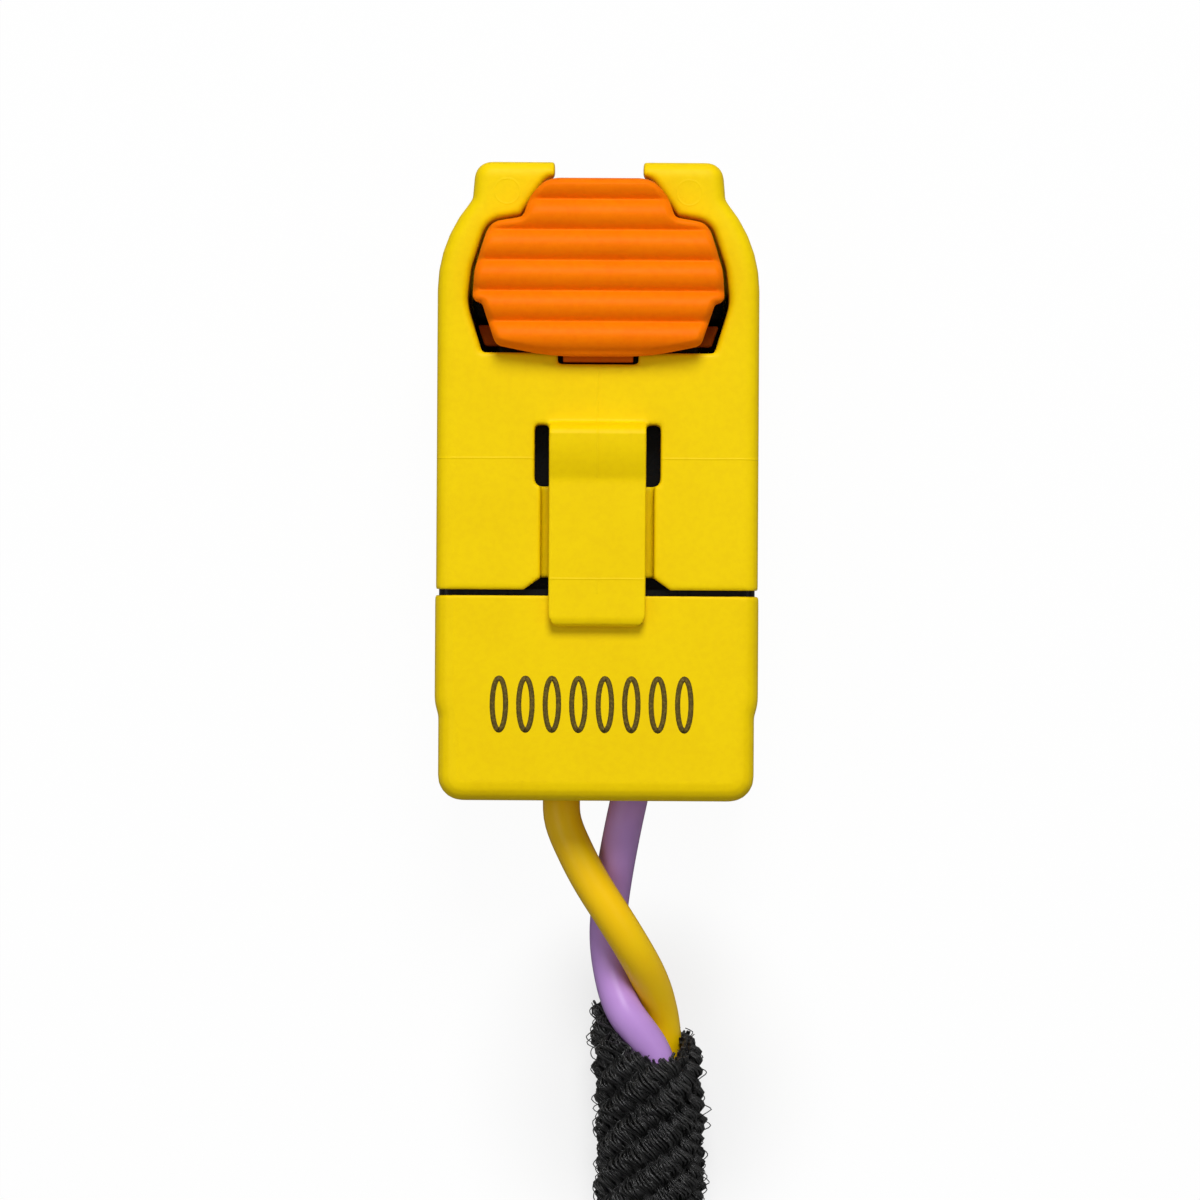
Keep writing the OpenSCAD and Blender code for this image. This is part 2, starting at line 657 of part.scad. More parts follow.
module yellow_wire_end() color(WIRE_YELLOW) round_bar(-circuit_x, axis_z, wire_d / 2, rear_y, grip_y1);
module violet_wire_end() color(VIOLET) round_bar(circuit_x, axis_z, wire_d / 2, rear_y, grip_y1);

module ferrite_core() color(FERRITE) {
    difference() {
        bar(cap_room_half - fit, inner_low, cap_h - cap_face - fit, ferrite_y0, ferrite_y0 + ferrite_l, 0.8);
        for (x = [-circuit_x, circuit_x])
            round_bar(x, axis_z, bore_r, ferrite_y0 - OVER, ferrite_y0 + ferrite_l + OVER);
    }
}

module yellow_wire() color(WIRE_YELLOW) tube(YELLOW_ROUTE, wire_d, flush = true);
module violet_wire() color(VIOLET) tube(VIOLET_ROUTE, wire_d, flush = true);

module sleeve_lead() color(BLACK) tube(LEAD_ROUTE, sleeve_d, 12, flush = true);

// Section of the coil, or of the tie when grown inwards
module ring_section(d) {
    polygon(rounded([[ring_out - d, d, 2], [ring_out - d, sleeve_d - d, 2],
        [ring_in + d, sleeve_d - d, 2], [ring_in + d, d, 2]]));
}

// The turns of the coil as one ring, with the straight run that leads into it
module sleeve_coil() color(BLACK) {
    difference() {
        translate([coil_c.x, coil_c.y, 0]) rotate_extrude($fn = 96) ring_section(0);
        translate([coil_c.x, coil_c.y, 0]) rotate([0, 0, -90 - tie_turn / 2 - tie_slack])
            rotate_extrude(angle = tie_turn + 2 * tie_slack, $fn = 96) difference() {
                translate([ring_in - OVER, -OVER]) square([ring_out - ring_in + 2 * OVER, sleeve_d + 2 * OVER]);
                ring_section(tie_t + 0.02);
            }
    }
    round_bar(sleeve_x, sleeve_z, sleeve_d / 2, coil_c.y, lead_y);
}

module coil_tie() color(NYLON) {
    translate([coil_c.x, coil_c.y, 0]) rotate([0, 0, -90 - tie_turn / 2])
        rotate_extrude(angle = tie_turn, $fn = 96) difference() {
            ring_section(0);
            ring_section(tie_t);
        }
}

module yellow_tail() color(WIRE_YELLOW) tube(YELLOW_TAIL, wire_d);
module violet_tail() color(VIOLET) tube(VIOLET_TAIL, wire_d);

// The stripped strands that carry straight on from a tail
function strands(tail) = let (end = tail[len(tail) - 1], back = tail[len(tail) - 2])
    [end, end + bare_l * unit(end - back)];

module yellow_strands() color(COPPER) tube(strands(YELLOW_TAIL), core_d);
module violet_strands() color(COPPER) tube(strands(VIOLET_TAIL), core_d);

outer_housing();
rear_cap();
lock_slide();
inner_housing();
front_retainer();
shorting_clip();
contact_left();
contact_right();
contact_spring_left();
contact_spring_right();
conductor_left();
conductor_right();
yellow_wire_end();
violet_wire_end();
ferrite_core();
yellow_wire();
violet_wire();
sleeve_lead();
sleeve_coil();
coil_tie();
yellow_tail();
violet_tail();
yellow_strands();
violet_strands();
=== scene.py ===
"""A two-way in-line cable plug with a latch strap, a ribbed lock and a sleeved pigtail.

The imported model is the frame. Moulded pieces get their soft edges here, the braided sleeve is
laid yarn by yarn along its route, and a plain studio surrounds the plug.
"""

import logging
import math
from dataclasses import dataclass, field
from enum import Enum
from typing import Any, Callable

import bmesh
import bpy
import numpy as np
from mathutils import Matrix, Vector


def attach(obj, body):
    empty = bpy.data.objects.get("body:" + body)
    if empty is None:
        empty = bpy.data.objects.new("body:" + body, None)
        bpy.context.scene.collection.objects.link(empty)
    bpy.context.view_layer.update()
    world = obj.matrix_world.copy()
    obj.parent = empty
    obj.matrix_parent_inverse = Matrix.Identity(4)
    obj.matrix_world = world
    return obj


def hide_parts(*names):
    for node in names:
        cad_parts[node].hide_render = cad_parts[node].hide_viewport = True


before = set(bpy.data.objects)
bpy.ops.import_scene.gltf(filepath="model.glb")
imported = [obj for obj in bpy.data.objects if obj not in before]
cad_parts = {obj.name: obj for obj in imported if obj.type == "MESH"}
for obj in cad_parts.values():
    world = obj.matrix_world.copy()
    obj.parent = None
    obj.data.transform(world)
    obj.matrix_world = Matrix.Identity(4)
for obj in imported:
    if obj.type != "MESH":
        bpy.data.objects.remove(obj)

MM = 0.001
LOG = logging.getLogger("plug")

UP = np.array([0.0, 0.0, 1.0])

Colour = tuple[float, float, float]


# ---------------------------------------------------------------- node trees


class Value:
    """An output socket that does its maths through Python's operators."""

    def __init__(self, graph: "Graph", socket: bpy.types.NodeSocket) -> None:
        """Keeps the graph and the socket."""
        self.graph, self.socket = graph, socket

    def _maths(self, operation: str, *terms: Any) -> "Value":
        """Adds one Math node.

        Args:
            operation: The Math node's operation.
            terms: Its inputs, as values or numbers.

        Returns:
            The node's result.
        """
        return self.graph.node("ShaderNodeMath", {"operation": operation}, dict(enumerate(terms)))[0]

    def __add__(self, other: Any) -> "Value":
        """Sum."""
        return self._maths("ADD", self, other)

    __radd__ = __add__

    def __sub__(self, other: Any) -> "Value":
        """Difference."""
        return self._maths("SUBTRACT", self, other)

    def __rsub__(self, other: Any) -> "Value":
        """Difference from a number."""
        return self._maths("SUBTRACT", other, self)

    def __mul__(self, other: Any) -> "Value":
        """Product."""
        return self._maths("MULTIPLY", self, other)

    __rmul__ = __mul__

    def __truediv__(self, other: Any) -> "Value":
        """Quotient."""
        return self._maths("DIVIDE", self, other)

    def __pow__(self, other: Any) -> "Value":
        """Power."""
        return self._maths("POWER", self, other)

    def __gt__(self, other: Any) -> "Value":
        """1 where this is the greater."""
        return self._maths("GREATER_THAN", self, other)

    def __lt__(self, other: Any) -> "Value":
        """1 where this is the smaller."""
        return self._maths("LESS_THAN", self, other)

    def apply(self, operation: str, *terms: Any) -> "Value":
        """Any other Math operation on this value, such as COSINE or ABSOLUTE."""
        return self._maths(operation, self, *terms)

    def band(self, low: float, high: float) -> "Value":
        """0 at low and 1 at high, with soft ends.

        Args:
            low: Where it leaves 0.
            high: Where it reaches 1.

        Returns:
            The share.
        """
        return self.graph.node(
            "ShaderNodeMapRange",
            {"interpolation_type": "SMOOTHSTEP"},
            {"Value": self, "From Min": low, "From Max": high},
        )[0]


class Node:
    """A node whose outputs are read as values."""

    def __init__(self, graph: "Graph", made: bpy.types.Node) -> None:
        """Keeps the graph and the node."""
        self.graph, self.made = graph, made

    def __getitem__(self, key: Any) -> Value:
        """The output of that name or number, counting only those that are in use.

        Args:
            key: The output's name or number.

        Returns:
            The output.
        """
        if isinstance(key, str):
            return Value(self.graph, self.made.outputs[key])
        return Value(self.graph, [s for s in self.made.outputs if s.enabled][key])


class Graph:
    """A node tree that is written as expressions."""

    def __init__(self, tree: bpy.types.NodeTree) -> None:
        """Starts on an empty tree."""
        self.tree = tree
        tree.nodes.clear()

    def node(
        self, kind: str, settings: dict[str, Any] | None = None, inputs: dict[Any, Any] | None = None
    ) -> Node:
        """Makes a node, sets it up and feeds it.

        Args:
            kind: The node's type.
            settings: Its properties, set first.
            inputs: Values, numbers or colours for its sockets, by name or by number.

        Returns:
            The node.
        """
        made = self.tree.nodes.new(kind)
        for key, value in (settings or {}).items():
            setattr(made, key, value)
        live = [s for s in made.inputs if s.enabled]
        for key, value in (inputs or {}).items():
            socket = live[key] if isinstance(key, int) else next(s for s in live if s.name == key)
            if isinstance(value, Value):
                self.tree.links.new(value.socket, socket)
            elif isinstance(value, tuple) and socket.type == "RGBA":
                socket.default_value = (*value, 1.0)
            else:
                socket.default_value = value
        return Node(self, made)

    def vector(self, x: Any, y: Any, z: Any) -> Value:
        """A vector of three numbers."""
        return self.node("ShaderNodeCombineXYZ", None, {0: x, 1: y, 2: z})[0]

    def combine(self, operation: str, first: Any, second: Any) -> Value:
        """A Vector Math node on two vectors."""
        return self.node("ShaderNodeVectorMath", {"operation": operation}, {0: first, 1: second})[0]

    def axes(self, point: Value) -> list[Value]:
        """A vector's three numbers."""
        parts = self.node("ShaderNodeSeparateXYZ", None, {0: point})
        return [parts[k] for k in range(3)]


class Shader(Graph):
    """A material's node tree."""

    def __init__(self, name: str) -> None:
        """Makes the material of that name and its tree.

        Args:
            name: The name.
        """
        self.material = bpy.data.materials.new(name)
        self.material.use_nodes = True
        super().__init__(self.material.node_tree)

    def place(self, stretch: tuple[float, float, float] = (1.0, 1.0, 1.0)) -> Value:
        """The point on the piece, in millimetres.

        Args:
            stretch: A factor for each axis.

        Returns:
            The point.
        """
        point = self.node("ShaderNodeTexCoord")["Object"]
        return self.combine("MULTIPLY", point, tuple(s / MM for s in stretch))

    def noise(self, point: Value, size: float, detail: float = 3.0, rough: float = 0.55) -> Value:
        """Noise between 0 and 1.

        Args:
            point: Where it is read, in millimetres.
            size: Millimetres from one spot to the next.
            detail: Octaves.
            rough: Strength of the fine octaves.

        Returns:
            The noise.
        """
        inputs = {"Vector": point, "Scale": 1 / size, "Detail": detail, "Roughness": rough}
        return self.node("ShaderNodeTexNoise", None, inputs)[0]

    def cells(self, point: Value, size: float) -> Value:
        """How far the nearest spot is, for pitted and grained surfaces."""
        return self.node("ShaderNodeTexVoronoi", None, {"Vector": point, "Scale": 1 / size})[0]

    def mix(self, share: Any, first: Any, second: Any) -> Value:
        """A colour between two colours, with that share of the second."""
        inputs = {"Factor": share, "A": first, "B": second}
        return self.node("ShaderNodeMix", {"data_type": "RGBA"}, inputs)[0]

    def bump(self, height: Value, depth: float, under: Value | None = None) -> Value:
        """A normal from a height.

        Args:
            height: The height, between 0 and 1.
            depth: Millimetres that 1 stands for.
            under: A normal that this one is added to.

        Returns:
            The normal.
        """
        inputs = {"Height": height, "Distance": depth * MM, "Strength": 1.0}
        if under is not None:
            inputs["Normal"] = under
        return self.node("ShaderNodeBump", None, inputs)[0]

    def finish(self, **sockets: Any) -> bpy.types.Material:
        """Ends the tree in one Principled shader.

        Args:
            sockets: Its sockets, with _ for a space.

        Returns:
            The material.
        """
        inputs = {key.replace("_", " "): value for key, value in sockets.items()}
        shader = self.node("ShaderNodeBsdfPrincipled", None, inputs)
        self.node("ShaderNodeOutputMaterial", None, {"Surface": shader[0]})
        return self.material


# ---------------------------------------------------------------- finishes


@dataclass(frozen=True)
class Moulded:
    """Satin plastic from a finely eroded mould."""

    slot: str
    colour: Colour
    deep: Colour
    roughness: float = 0.42
    grain: float = 0.09
    relief: float = 0.004
    specular: float = 0.12
    # Painted shade: the colour darkens towards black by the third number below the first height, and not at
    # all above the second.
    painted_shade: tuple[float, float, float] = (0.0, 0.0, 0.0)
    line_w: float = 0.07
    line_h: float = 0.014
    ring_h: float = 0.008
    ring_z: float = 11.0
    lines: tuple[tuple[str, float, tuple[float, float], tuple[float, float]], ...] = ()
    rings: tuple[tuple[float, float, float], ...] = ()

    def material(self) -> bpy.types.Material:
        """The grained plastic, a little paler and rougher in patches, with painted shade that darkens it low
        down where a height is given.

        Returns:
            The material.
        """
        s = Shader(self.slot)
        point = s.place()
        patches = s.noise(point, 3.5, 2)
        mottle = s.noise(point, 0.35, 3)
        grain = s.noise(point, self.grain, 2, 0.6) * 0.7 + s.cells(point, self.grain * 1.6) * 0.5
        share = (patches.band(0.35, 0.7) * 0.3 + mottle.band(0.35, 0.7) * 0.35).apply("MINIMUM", 1)
        colour = s.mix(share, self.colour, self.deep)
        low, high, depth = self.painted_shade
        x, y, z = s.axes(point)
        # Painted shade: below the given height the colour darkens towards black, standing in for shade.
        if depth:
            colour = s.mix((1 - z.band(low, high)) * depth, colour, (0.0, 0.0, 0.0))
        normal = s.bump(grain, self.relief)
        for axis, place, across, along in self.lines:
            run, other = (y, x) if axis == "y" else (x, y)
            wobble = (s.noise(point, 2.5, 1) - 0.5) * 0.05
            near = 1 - (run - place + wobble).apply("ABSOLUTE").band(0.0, self.line_w)
            span = other.apply("ABSOLUTE") if axis == "y" else other
            inside = (span > across[0]) * (span < across[1]) * (z > along[0]) * (z < along[1])
            normal = s.bump(near * inside, self.line_h, normal)
        for cx, cy, r in self.rings:
            distance = ((x - cx) ** 2.0 + (y - cy) ** 2.0) ** 0.5
            near = 1 - (distance - r).apply("ABSOLUTE").band(0.0, self.line_w)
            normal = s.bump(near * (z > self.ring_z), self.ring_h, normal)
        return s.finish(
            Base_Color=colour,
            Roughness=self.roughness + mottle * 0.12,
            Specular_IOR_Level=self.specular,
            Normal=normal,
        )


@dataclass(frozen=True)
class Insulation:
    """Smooth extruded insulation with faint lines from the die."""

    slot: str
    colour: Colour
    deep: Colour
    roughness: float = 0.3

    def material(self) -> bpy.types.Material:
        """The satin plastic.

        Returns:
            The material.
        """
        s = Shader(self.slot)
        point = s.place()
        cloud = s.noise(point, 2.2, 2)
        lines = s.noise(s.place((1.0, 0.12, 1.0)), 0.12, 2)
        return s.finish(
            Base_Color=s.mix(cloud.band(0.3, 0.7) * 0.6, self.colour, self.deep),
            Roughness=self.roughness + lines * 0.14,
            Specular_IOR_Level=0.26,
            Normal=s.bump(lines, 0.002),
        )


@dataclass(frozen=True)
class Metal:
    """Sheet metal or wire."""

    slot: str
    colour: Colour
    deep: Colour
    roughness: float = 0.3

    def material(self) -> bpy.types.Material:
        """The rolled metal, duller in patches.

        Returns:
            The material.
        """
        s = Shader(self.slot)
        cloud = s.noise(s.place(), 0.9, 3)
        lines = s.noise(s.place((1.0, 0.06, 1.0)), 0.05, 2)
        return s.finish(
            Base_Color=s.mix(cloud.band(0.35, 0.75), self.colour, self.deep),
            Metallic=1.0,
            Roughness=self.roughness + cloud * 0.15 + lines * 0.1,
            Normal=s.bump(lines, 0.002),
        )


@dataclass(frozen=True)
class Sintered:
    """Matt ferrite with fine pores."""

    slot: str
    colour: Colour
    deep: Colour

    def material(self) -> bpy.types.Material:
        """The pressed and fired ceramic.

        Returns:
            The material.
        """
        s = Shader(self.slot)
        point = s.place()
        pores = s.cells(point, 0.18)
        return s.finish(
            Base_Color=s.mix(s.noise(point, 0.5, 4), self.colour, self.deep),
            Roughness=0.78 - pores * 0.1,
            Specular_IOR_Level=0.4,
            Normal=s.bump(pores, 0.01),
        )


@dataclass(frozen=True)
class Yarn:
    """Textured black polyester yarn."""

    slot: str
    colour: Colour
    painted_highlight: Colour
    threads: float = 9.0

    def material(self) -> bpy.types.Material:
        """The yarn: fine threads that run along it, read from its own attributes, with painted highlights on
        them.

        Returns:
            The material.
        """
        s = Shader(self.slot)
        thread = s.node("ShaderNodeAttribute", {"attribute_name": "thread"})["Vector"]
        tone = s.node("ShaderNodeAttribute", {"attribute_name": "tone"})["Fac"]
        ring = s.combine("MULTIPLY", thread, (self.threads / 6, self.threads / 6, 0.5))
        ring = s.combine("ADD", ring, s.vector(tone * 31, tone * 17, tone * 37))
        threads = s.noise(ring, 0.55, 3, 0.65)
        fleck = s.noise(s.place(), 0.22, 2)
        # Painted highlight: the lighter colour marks lit threads, most on the lighter plies.
        share = threads.band(0.42, 0.74) * (fleck * 0.9 + 0.25) * (tone * tone * 1.5 + 0.25)
        return s.finish(
            Base_Color=s.mix(share.apply("MINIMUM", 1), self.colour, self.painted_highlight),
            Roughness=0.42 - threads * 0.2,
            Specular_IOR_Level=0.8,
            Normal=s.bump(threads, 0.06),
        )


@dataclass(frozen=True)
class LaserMark:
    """Plastic that a laser has browned."""

    slot: str
    colour: Colour
    deep: Colour

    def material(self) -> bpy.types.Material:
        """The mark, fainter where the beam skipped.

        Returns:
            The material.
        """
        s = Shader("laser_mark")
        point = s.place()
        fleck = s.noise(point, 0.12, 3, 0.7)
        return s.finish(
            Base_Color=s.mix(fleck.band(0.4, 0.75), self.colour, self.deep),
            Roughness=0.6,
            Specular_IOR_Level=0.3,
            Normal=s.bump(fleck, 0.006),
        )


class Finish(Enum):
    """The finishes of the plug and its pigtail."""

    SHELL = Moulded(
        "yellow_shell", (0.95, 0.675, 0.0), (0.88, 0.595, 0.0), specular=0.1,
        lines=(
            ("y", 1.15, (3.15, 9.0), (0.3, 12.0)), ("x", 0.0, (0.2, 6.2), (10.0, 14.0)),
            ("y", -4.875, (0.0, 2.6), (11.8, 14.0)), ("x", 0.0, (-5.6, -4.9), (11.8, 14.0)),
        ),
        rings=((4.52, 14.46, 0.63), (-4.6, 14.5, 0.63)),
    )
    LOCK = Moulded(
        # Painted shade darkens the lock below 11.9 mm, most on its legs deep in the window.
        "orange_lock", (1.0, 0.208, 0.0), (0.94, 0.16, 0.0), 0.4, 0.12, 0.006, 0.05, painted_shade=(10.0, 11.9, 0.8)
    )
    BODY = Moulded("black_body", (0.006, 0.006, 0.006), (0.003, 0.003, 0.003), 0.22, 0.2, 0.001, 0.16)
    TIE = Moulded("tie_nylon", (0.02, 0.02, 0.022), (0.012, 0.012, 0.013), 0.4, 0.15, 0.002)
    YELLOW = Insulation("yellow_insulation", (1.0, 0.64, 0.0), (1.0, 0.58, 0.0))
    VIOLET = Insulation("violet_insulation", (0.55, 0.31, 0.74), (0.49, 0.265, 0.67))
    STEEL = Metal("spring_steel", (0.62, 0.63, 0.65), (0.5, 0.51, 0.53), 0.25)
    BRASS = Metal("contact_brass", (0.72, 0.68, 0.56), (0.62, 0.55, 0.4), 0.28)
    COPPER = Metal("copper_strands", (0.8, 0.42, 0.27), (0.66, 0.3, 0.17), 0.3)
    FERRITE = Sintered("ferrite", (0.05, 0.051, 0.055), (0.03, 0.03, 0.033))
    # The braid's second colour is a painted highlight on its threads.
    BRAID = Yarn("black_braid", (0.0025, 0.0025, 0.0025), (0.08, 0.08, 0.08))
    MARK = LaserMark("yellow_shell", (0.085, 0.056, 0.004), (0.2, 0.135, 0.006))

    def material(self) -> bpy.types.Material:
        """The finish's material, made once.

        Returns:
            The material.
        """
        made = _MATERIALS.get(self.name)
        if made is None:
            made = _MATERIALS[self.name] = self.value.material()
        return made


_MATERIALS: dict[str, bpy.types.Material] = {}


# ---------------------------------------------------------------- meshes


def linked(name: str, data: bpy.types.ID) -> bpy.types.Object:
    """Puts a new object in the scene.

    Args:
        name: The object's name.
        data: Its mesh, curve, lamp or camera.

    Returns:
        The object.
    """
    made = bpy.data.objects.new(name, data)
    bpy.context.scene.collection.objects.link(made)
    return made


def placed(name: str, data: bpy.types.ID, finish: Finish, body: str) -> bpy.types.Object:
    """Makes a finished object from a mesh or a curve in metres.

    Args:
        name: The piece's name.
        data: Its mesh or curve, with its place in it.
        finish: Its finish.
        body: The body that it rides on.

    Returns:
        The object.
    """
    data.name = name
    data.materials.clear()
    data.materials.append(finish.material())
    piece = linked(name, data)
    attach(piece, body)
    size = len(data.polygons) if isinstance(data, bpy.types.Mesh) else len(data.splines[0].points)
    LOG.info("%s: %d faces or points on %s", name, size, body)
    return piece


def evaluated_mesh(helper: bpy.types.Object) -> bpy.types.Mesh:
    """A helper object's mesh with its modifiers applied; the helper is removed.

    Args:
        helper: The helper, with its modifiers.

    Returns:
        The mesh.
    """
    made = bpy.data.meshes.new_from_object(helper.evaluated_get(bpy.context.evaluated_depsgraph_get()))
    bpy.data.objects.remove(helper)
    return made


def merged_copy(node: str) -> bpy.types.Mesh:
    """A CAD node's mesh in millimetres, with its loose triangles joined.

    Args:
        node: The CAD node.

    Returns:
        The copy.
    """
    work = bmesh.new()
    work.from_mesh(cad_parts[node].data)
    bmesh.ops.scale(work, vec=(1 / MM,) * 3, verts=work.verts)
    bmesh.ops.remove_doubles(work, verts=work.verts, dist=1e-4)
    made = bpy.data.meshes.new(node + "_copy")
    work.to_mesh(made)
    work.free()
    return made


def in_metres(mesh: bpy.types.Mesh) -> bpy.types.Mesh:
    """The mesh scaled from millimetres and smooth shaded.

    Args:
        mesh: A mesh in millimetres.

    Returns:
        The same mesh.
    """
    mesh.transform(Matrix.Scale(MM, 4))
    mesh.shade_smooth()
    return mesh


@dataclass(frozen=True)
class SoftEdges:
    """How a moulded piece gets its small fillets, in millimetres."""

    voxel: float = 0.1
    passes: int = 6
    faces: int = 90000

    def made(self, node: str, shape: Callable[[np.ndarray], np.ndarray]) -> bpy.types.Mesh:
        """Rounds a CAD node.

        Args:
            node: The CAD node.
            shape: Moves its points before its edges are smoothed.

        Returns:
            The rounded mesh, still in millimetres.
        """
        helper = linked("helper", merged_copy(node))
        remesh = helper.modifiers.new("remesh", "REMESH")
        remesh.mode, remesh.voxel_size, remesh.adaptivity = "VOXEL", self.voxel, 0.0
        mesh = evaluated_mesh(helper)
        points = np.empty(len(mesh.vertices) * 3)
        mesh.vertices.foreach_get("co", points)
        mesh.vertices.foreach_set("co", shape(points.reshape(-1, 3)).ravel())
        helper = linked("helper", mesh)
        smooth = helper.modifiers.new("smooth", "SMOOTH")
        smooth.factor, smooth.iterations = 0.5, self.passes
        return evaluated_mesh(helper)

    def thinned(self, mesh: bpy.types.Mesh) -> bpy.types.Mesh:
        """Thins out the flat parts' faces, and scales to metres.

        Args:
            mesh: A mesh in millimetres.

        Returns:
            The mesh in metres, smooth shaded.
        """
        helper = linked("helper", mesh)
        thin = helper.modifiers.new("thin", "DECIMATE")
        thin.ratio = min(1.0, self.faces / (2 * len(mesh.polygons)))
        return in_metres(evaluated_mesh(helper))


def weighted(piece: bpy.types.Object) -> None:
    """Lets the large faces lead the shading."""
    modifier = piece.modifiers.new("shading", "WEIGHTED_NORMAL")
    modifier.keep_sharp, modifier.weight = False, 80


# ---------------------------------------------------------------- grown pieces


class Growth(Graph):
    """A Geometry Nodes tree that grows a piece on a helper's mesh, in millimetres."""

    def __init__(self, name: str) -> None:
        """Makes the tree of that name with its geometry sockets.

        Args:
            name: The name.
        """
        super().__init__(bpy.data.node_groups.new(name, "GeometryNodeTree"))
        self.values: dict[str, Any] = {}
        for way in ("INPUT", "OUTPUT"):
            self.tree.interface.new_socket("Geometry", in_out=way, socket_type="NodeSocketGeometry")
        self.entry = self.node("NodeGroupInput")

    def size(self, name: str, value: float) -> Value:
        """Adds a named input.

        Args:
            name: The input's name.
            value: What it is set to, whole for a count.

        Returns:
            The input's value.
        """
        kind = "NodeSocketInt" if isinstance(value, int) else "NodeSocketFloat"
        socket = self.tree.interface.new_socket(name, in_out="INPUT", socket_type=kind)
        self.values[socket.identifier] = value
        return self.entry[name]

    def attribute(self, name: str) -> Value:
        """A number that the geometry keeps at each point."""
        return self.node("GeometryNodeInputNamedAttribute", {"data_type": "FLOAT"}, {"Name": name})[0]

    def store(self, shape: Value, name: str, value: Value, kind: str = "FLOAT") -> Value:
        """Keeps a value as a named attribute.

        Args:
            shape: The geometry.
            name: The attribute's name.
            value: Its value at each point.
            kind: Its type.

        Returns:
            The geometry with the attribute.
        """
        return self.node(
            "GeometryNodeStoreNamedAttribute",
            {"data_type": kind, "domain": "POINT"},
            {"Geometry": shape, "Name": name, "Value": value},
        )[0]

    def sway(self, x: Any, y: Any, z: Any, reach: float) -> Value:
        """Noise between minus and plus reach at a made-up point."""
        inputs = {"Vector": self.vector(x, y, z), "Scale": 1.0, "Detail": 1.0}
        return (self.node("ShaderNodeTexNoise", None, inputs)[0] - 0.5) * (2.6 * reach)

    def chance(self, seed: int, key: Value) -> Value:
        """A fixed random number between 0 and 1 for each key."""
        inputs = {"Min": 0.0, "Max": 1.0, "Seed": seed, "ID": key}
        return self.node("FunctionNodeRandomValue", {"data_type": "FLOAT"}, inputs)[0]

    def copies(self, amount: Any, step: Value | None = None) -> tuple[Value, Value]:
        """Copies the helper's line as curves.

        Args:
            amount: How many.
            step: The spacing of their points, where it isn't the helper's own.

        Returns:
            The curves, and each one's number.
        """
        rail = self.node("GeometryNodeMeshToCurve", None, {"Mesh": self.entry["Geometry"]})[0]
        if step is not None:
            inputs = {"Curve": rail, "Length": step}
            rail = self.node("GeometryNodeResampleCurve", {"mode": "LENGTH"}, inputs)[0]
        inputs = {"Geometry": rail, "Amount": amount}
        made = self.node("GeometryNodeDuplicateElements", {"domain": "SPLINE"}, inputs)
        return made[0], made["Duplicate Index"]

    def swung(self, curves: Value, turn: Value, out: Value) -> Value:
        """Moves the points of curves away from their line.

        Args:
            curves: The curves.
            turn: The angle in the line's section, in radians.
            out: The distance.

        Returns:
            The moved curves.
        """
        side = self.combine("CROSS_PRODUCT", (0.0, 0.0, 1.0), self.node("GeometryNodeInputTangent")[0])
        inputs = {"Vector": side, "Scale": turn.apply("COSINE") * out}
        across = self.node("ShaderNodeVectorMath", {"operation": "SCALE"}, inputs)[0]
        offset = self.combine("ADD", across, self.vector(0.0, 0.0, turn.apply("SINE") * out))
        return self.node("GeometryNodeSetPosition", None, {"Geometry": curves, "Offset": offset})[0]

    def tube(self, rails: Value, radius: Any, sides: Any) -> Value:
        """Sweeps a round section along curves, with the attribute that yarn finishes read.

        Args:
            rails: The curves, which carry "along" in millimetres.
            radius: The section's radius.
            sides: The section's number of sides.

        Returns:
            The closed tubes.
        """
        ring = self.node("GeometryNodeCurvePrimitiveCircle", None, {"Resolution": sides, "Radius": radius})[0]
        ring = self.store(ring, "share", self.node("GeometryNodeSplineParameter")["Factor"])
        rails = self.node("GeometryNodeSetCurveRadius", None, {"Curve": rails, "Radius": 1.0})[0]
        inputs = {"Curve": rails, "Profile Curve": ring, "Fill Caps": True}
        swept = self.node("GeometryNodeCurveToMesh", None, inputs)[0]
        along = self.attribute("along")
        turn = (self.attribute("share") + along * 0.18) * math.tau
        thread = self.vector(turn.apply("COSINE"), turn.apply("SINE"), along)
        return self.store(swept, "thread", thread, "FLOAT_VECTOR")

    def grown(self, result: Value, start: bpy.types.Mesh, finish: Finish) -> bpy.types.Mesh:
        """Runs the tree.

        Args:
            result: The geometry that it ends in.
            start: The helper's mesh, in millimetres.
            finish: The finish that it sets.

        Returns:
            The plain mesh, in metres.
        """
        real = self.node("GeometryNodeRealizeInstances", None, {0: result})[0]
        inputs = {"Geometry": real, "Material": finish.material()}
        self.node("NodeGroupOutput", None, {0: self.node("GeometryNodeSetMaterial", None, inputs)[0]})
        helper = linked("helper", start)
        modifier = helper.modifiers.new("growth", "NODES")
        modifier.node_group = self.tree
        for identifier, value in self.values.items():
            modifier[identifier] = value
        return in_metres(evaluated_mesh(helper))


def polyline(points: np.ndarray, **attributes: np.ndarray) -> bpy.types.Mesh:
    """A mesh of edges along points.

    Args:
        points: The points, in order.
        attributes: Numbers to keep at each point.

    Returns:
        The mesh.
    """
    mesh = bpy.data.meshes.new("line")
    mesh.from_pydata(points.tolist(), [(i, i + 1) for i in range(len(points) - 1)], [])
    for name, numbers in attributes.items():
        mesh.attributes.new(name, "FLOAT", "POINT").data.foreach_set("value", numbers.astype(np.float32))
    return mesh


def lengths(line: np.ndarray) -> np.ndarray:
    """How far along the line each point is."""
    return np.concatenate([[0], np.cumsum(np.linalg.norm(np.diff(line, axis=0), axis=1))])


def spaced(total: float, step: float) -> np.ndarray:
    """Even places from 0 to the total, about a step apart."""
    return np.linspace(0, total, max(2, round(total / step)) + 1)


def evenly(line: np.ndarray, step: float) -> np.ndarray:
    """The line again, with its points step apart.

    Args:
        line: The line's points.
        step: The spacing that is wanted.

    Returns:
        The new points.
    """
    along = lengths(line)
    at = spaced(along[-1], step)
    return np.stack([np.interp(at, along, line[:, k]) for k in range(3)], axis=1)


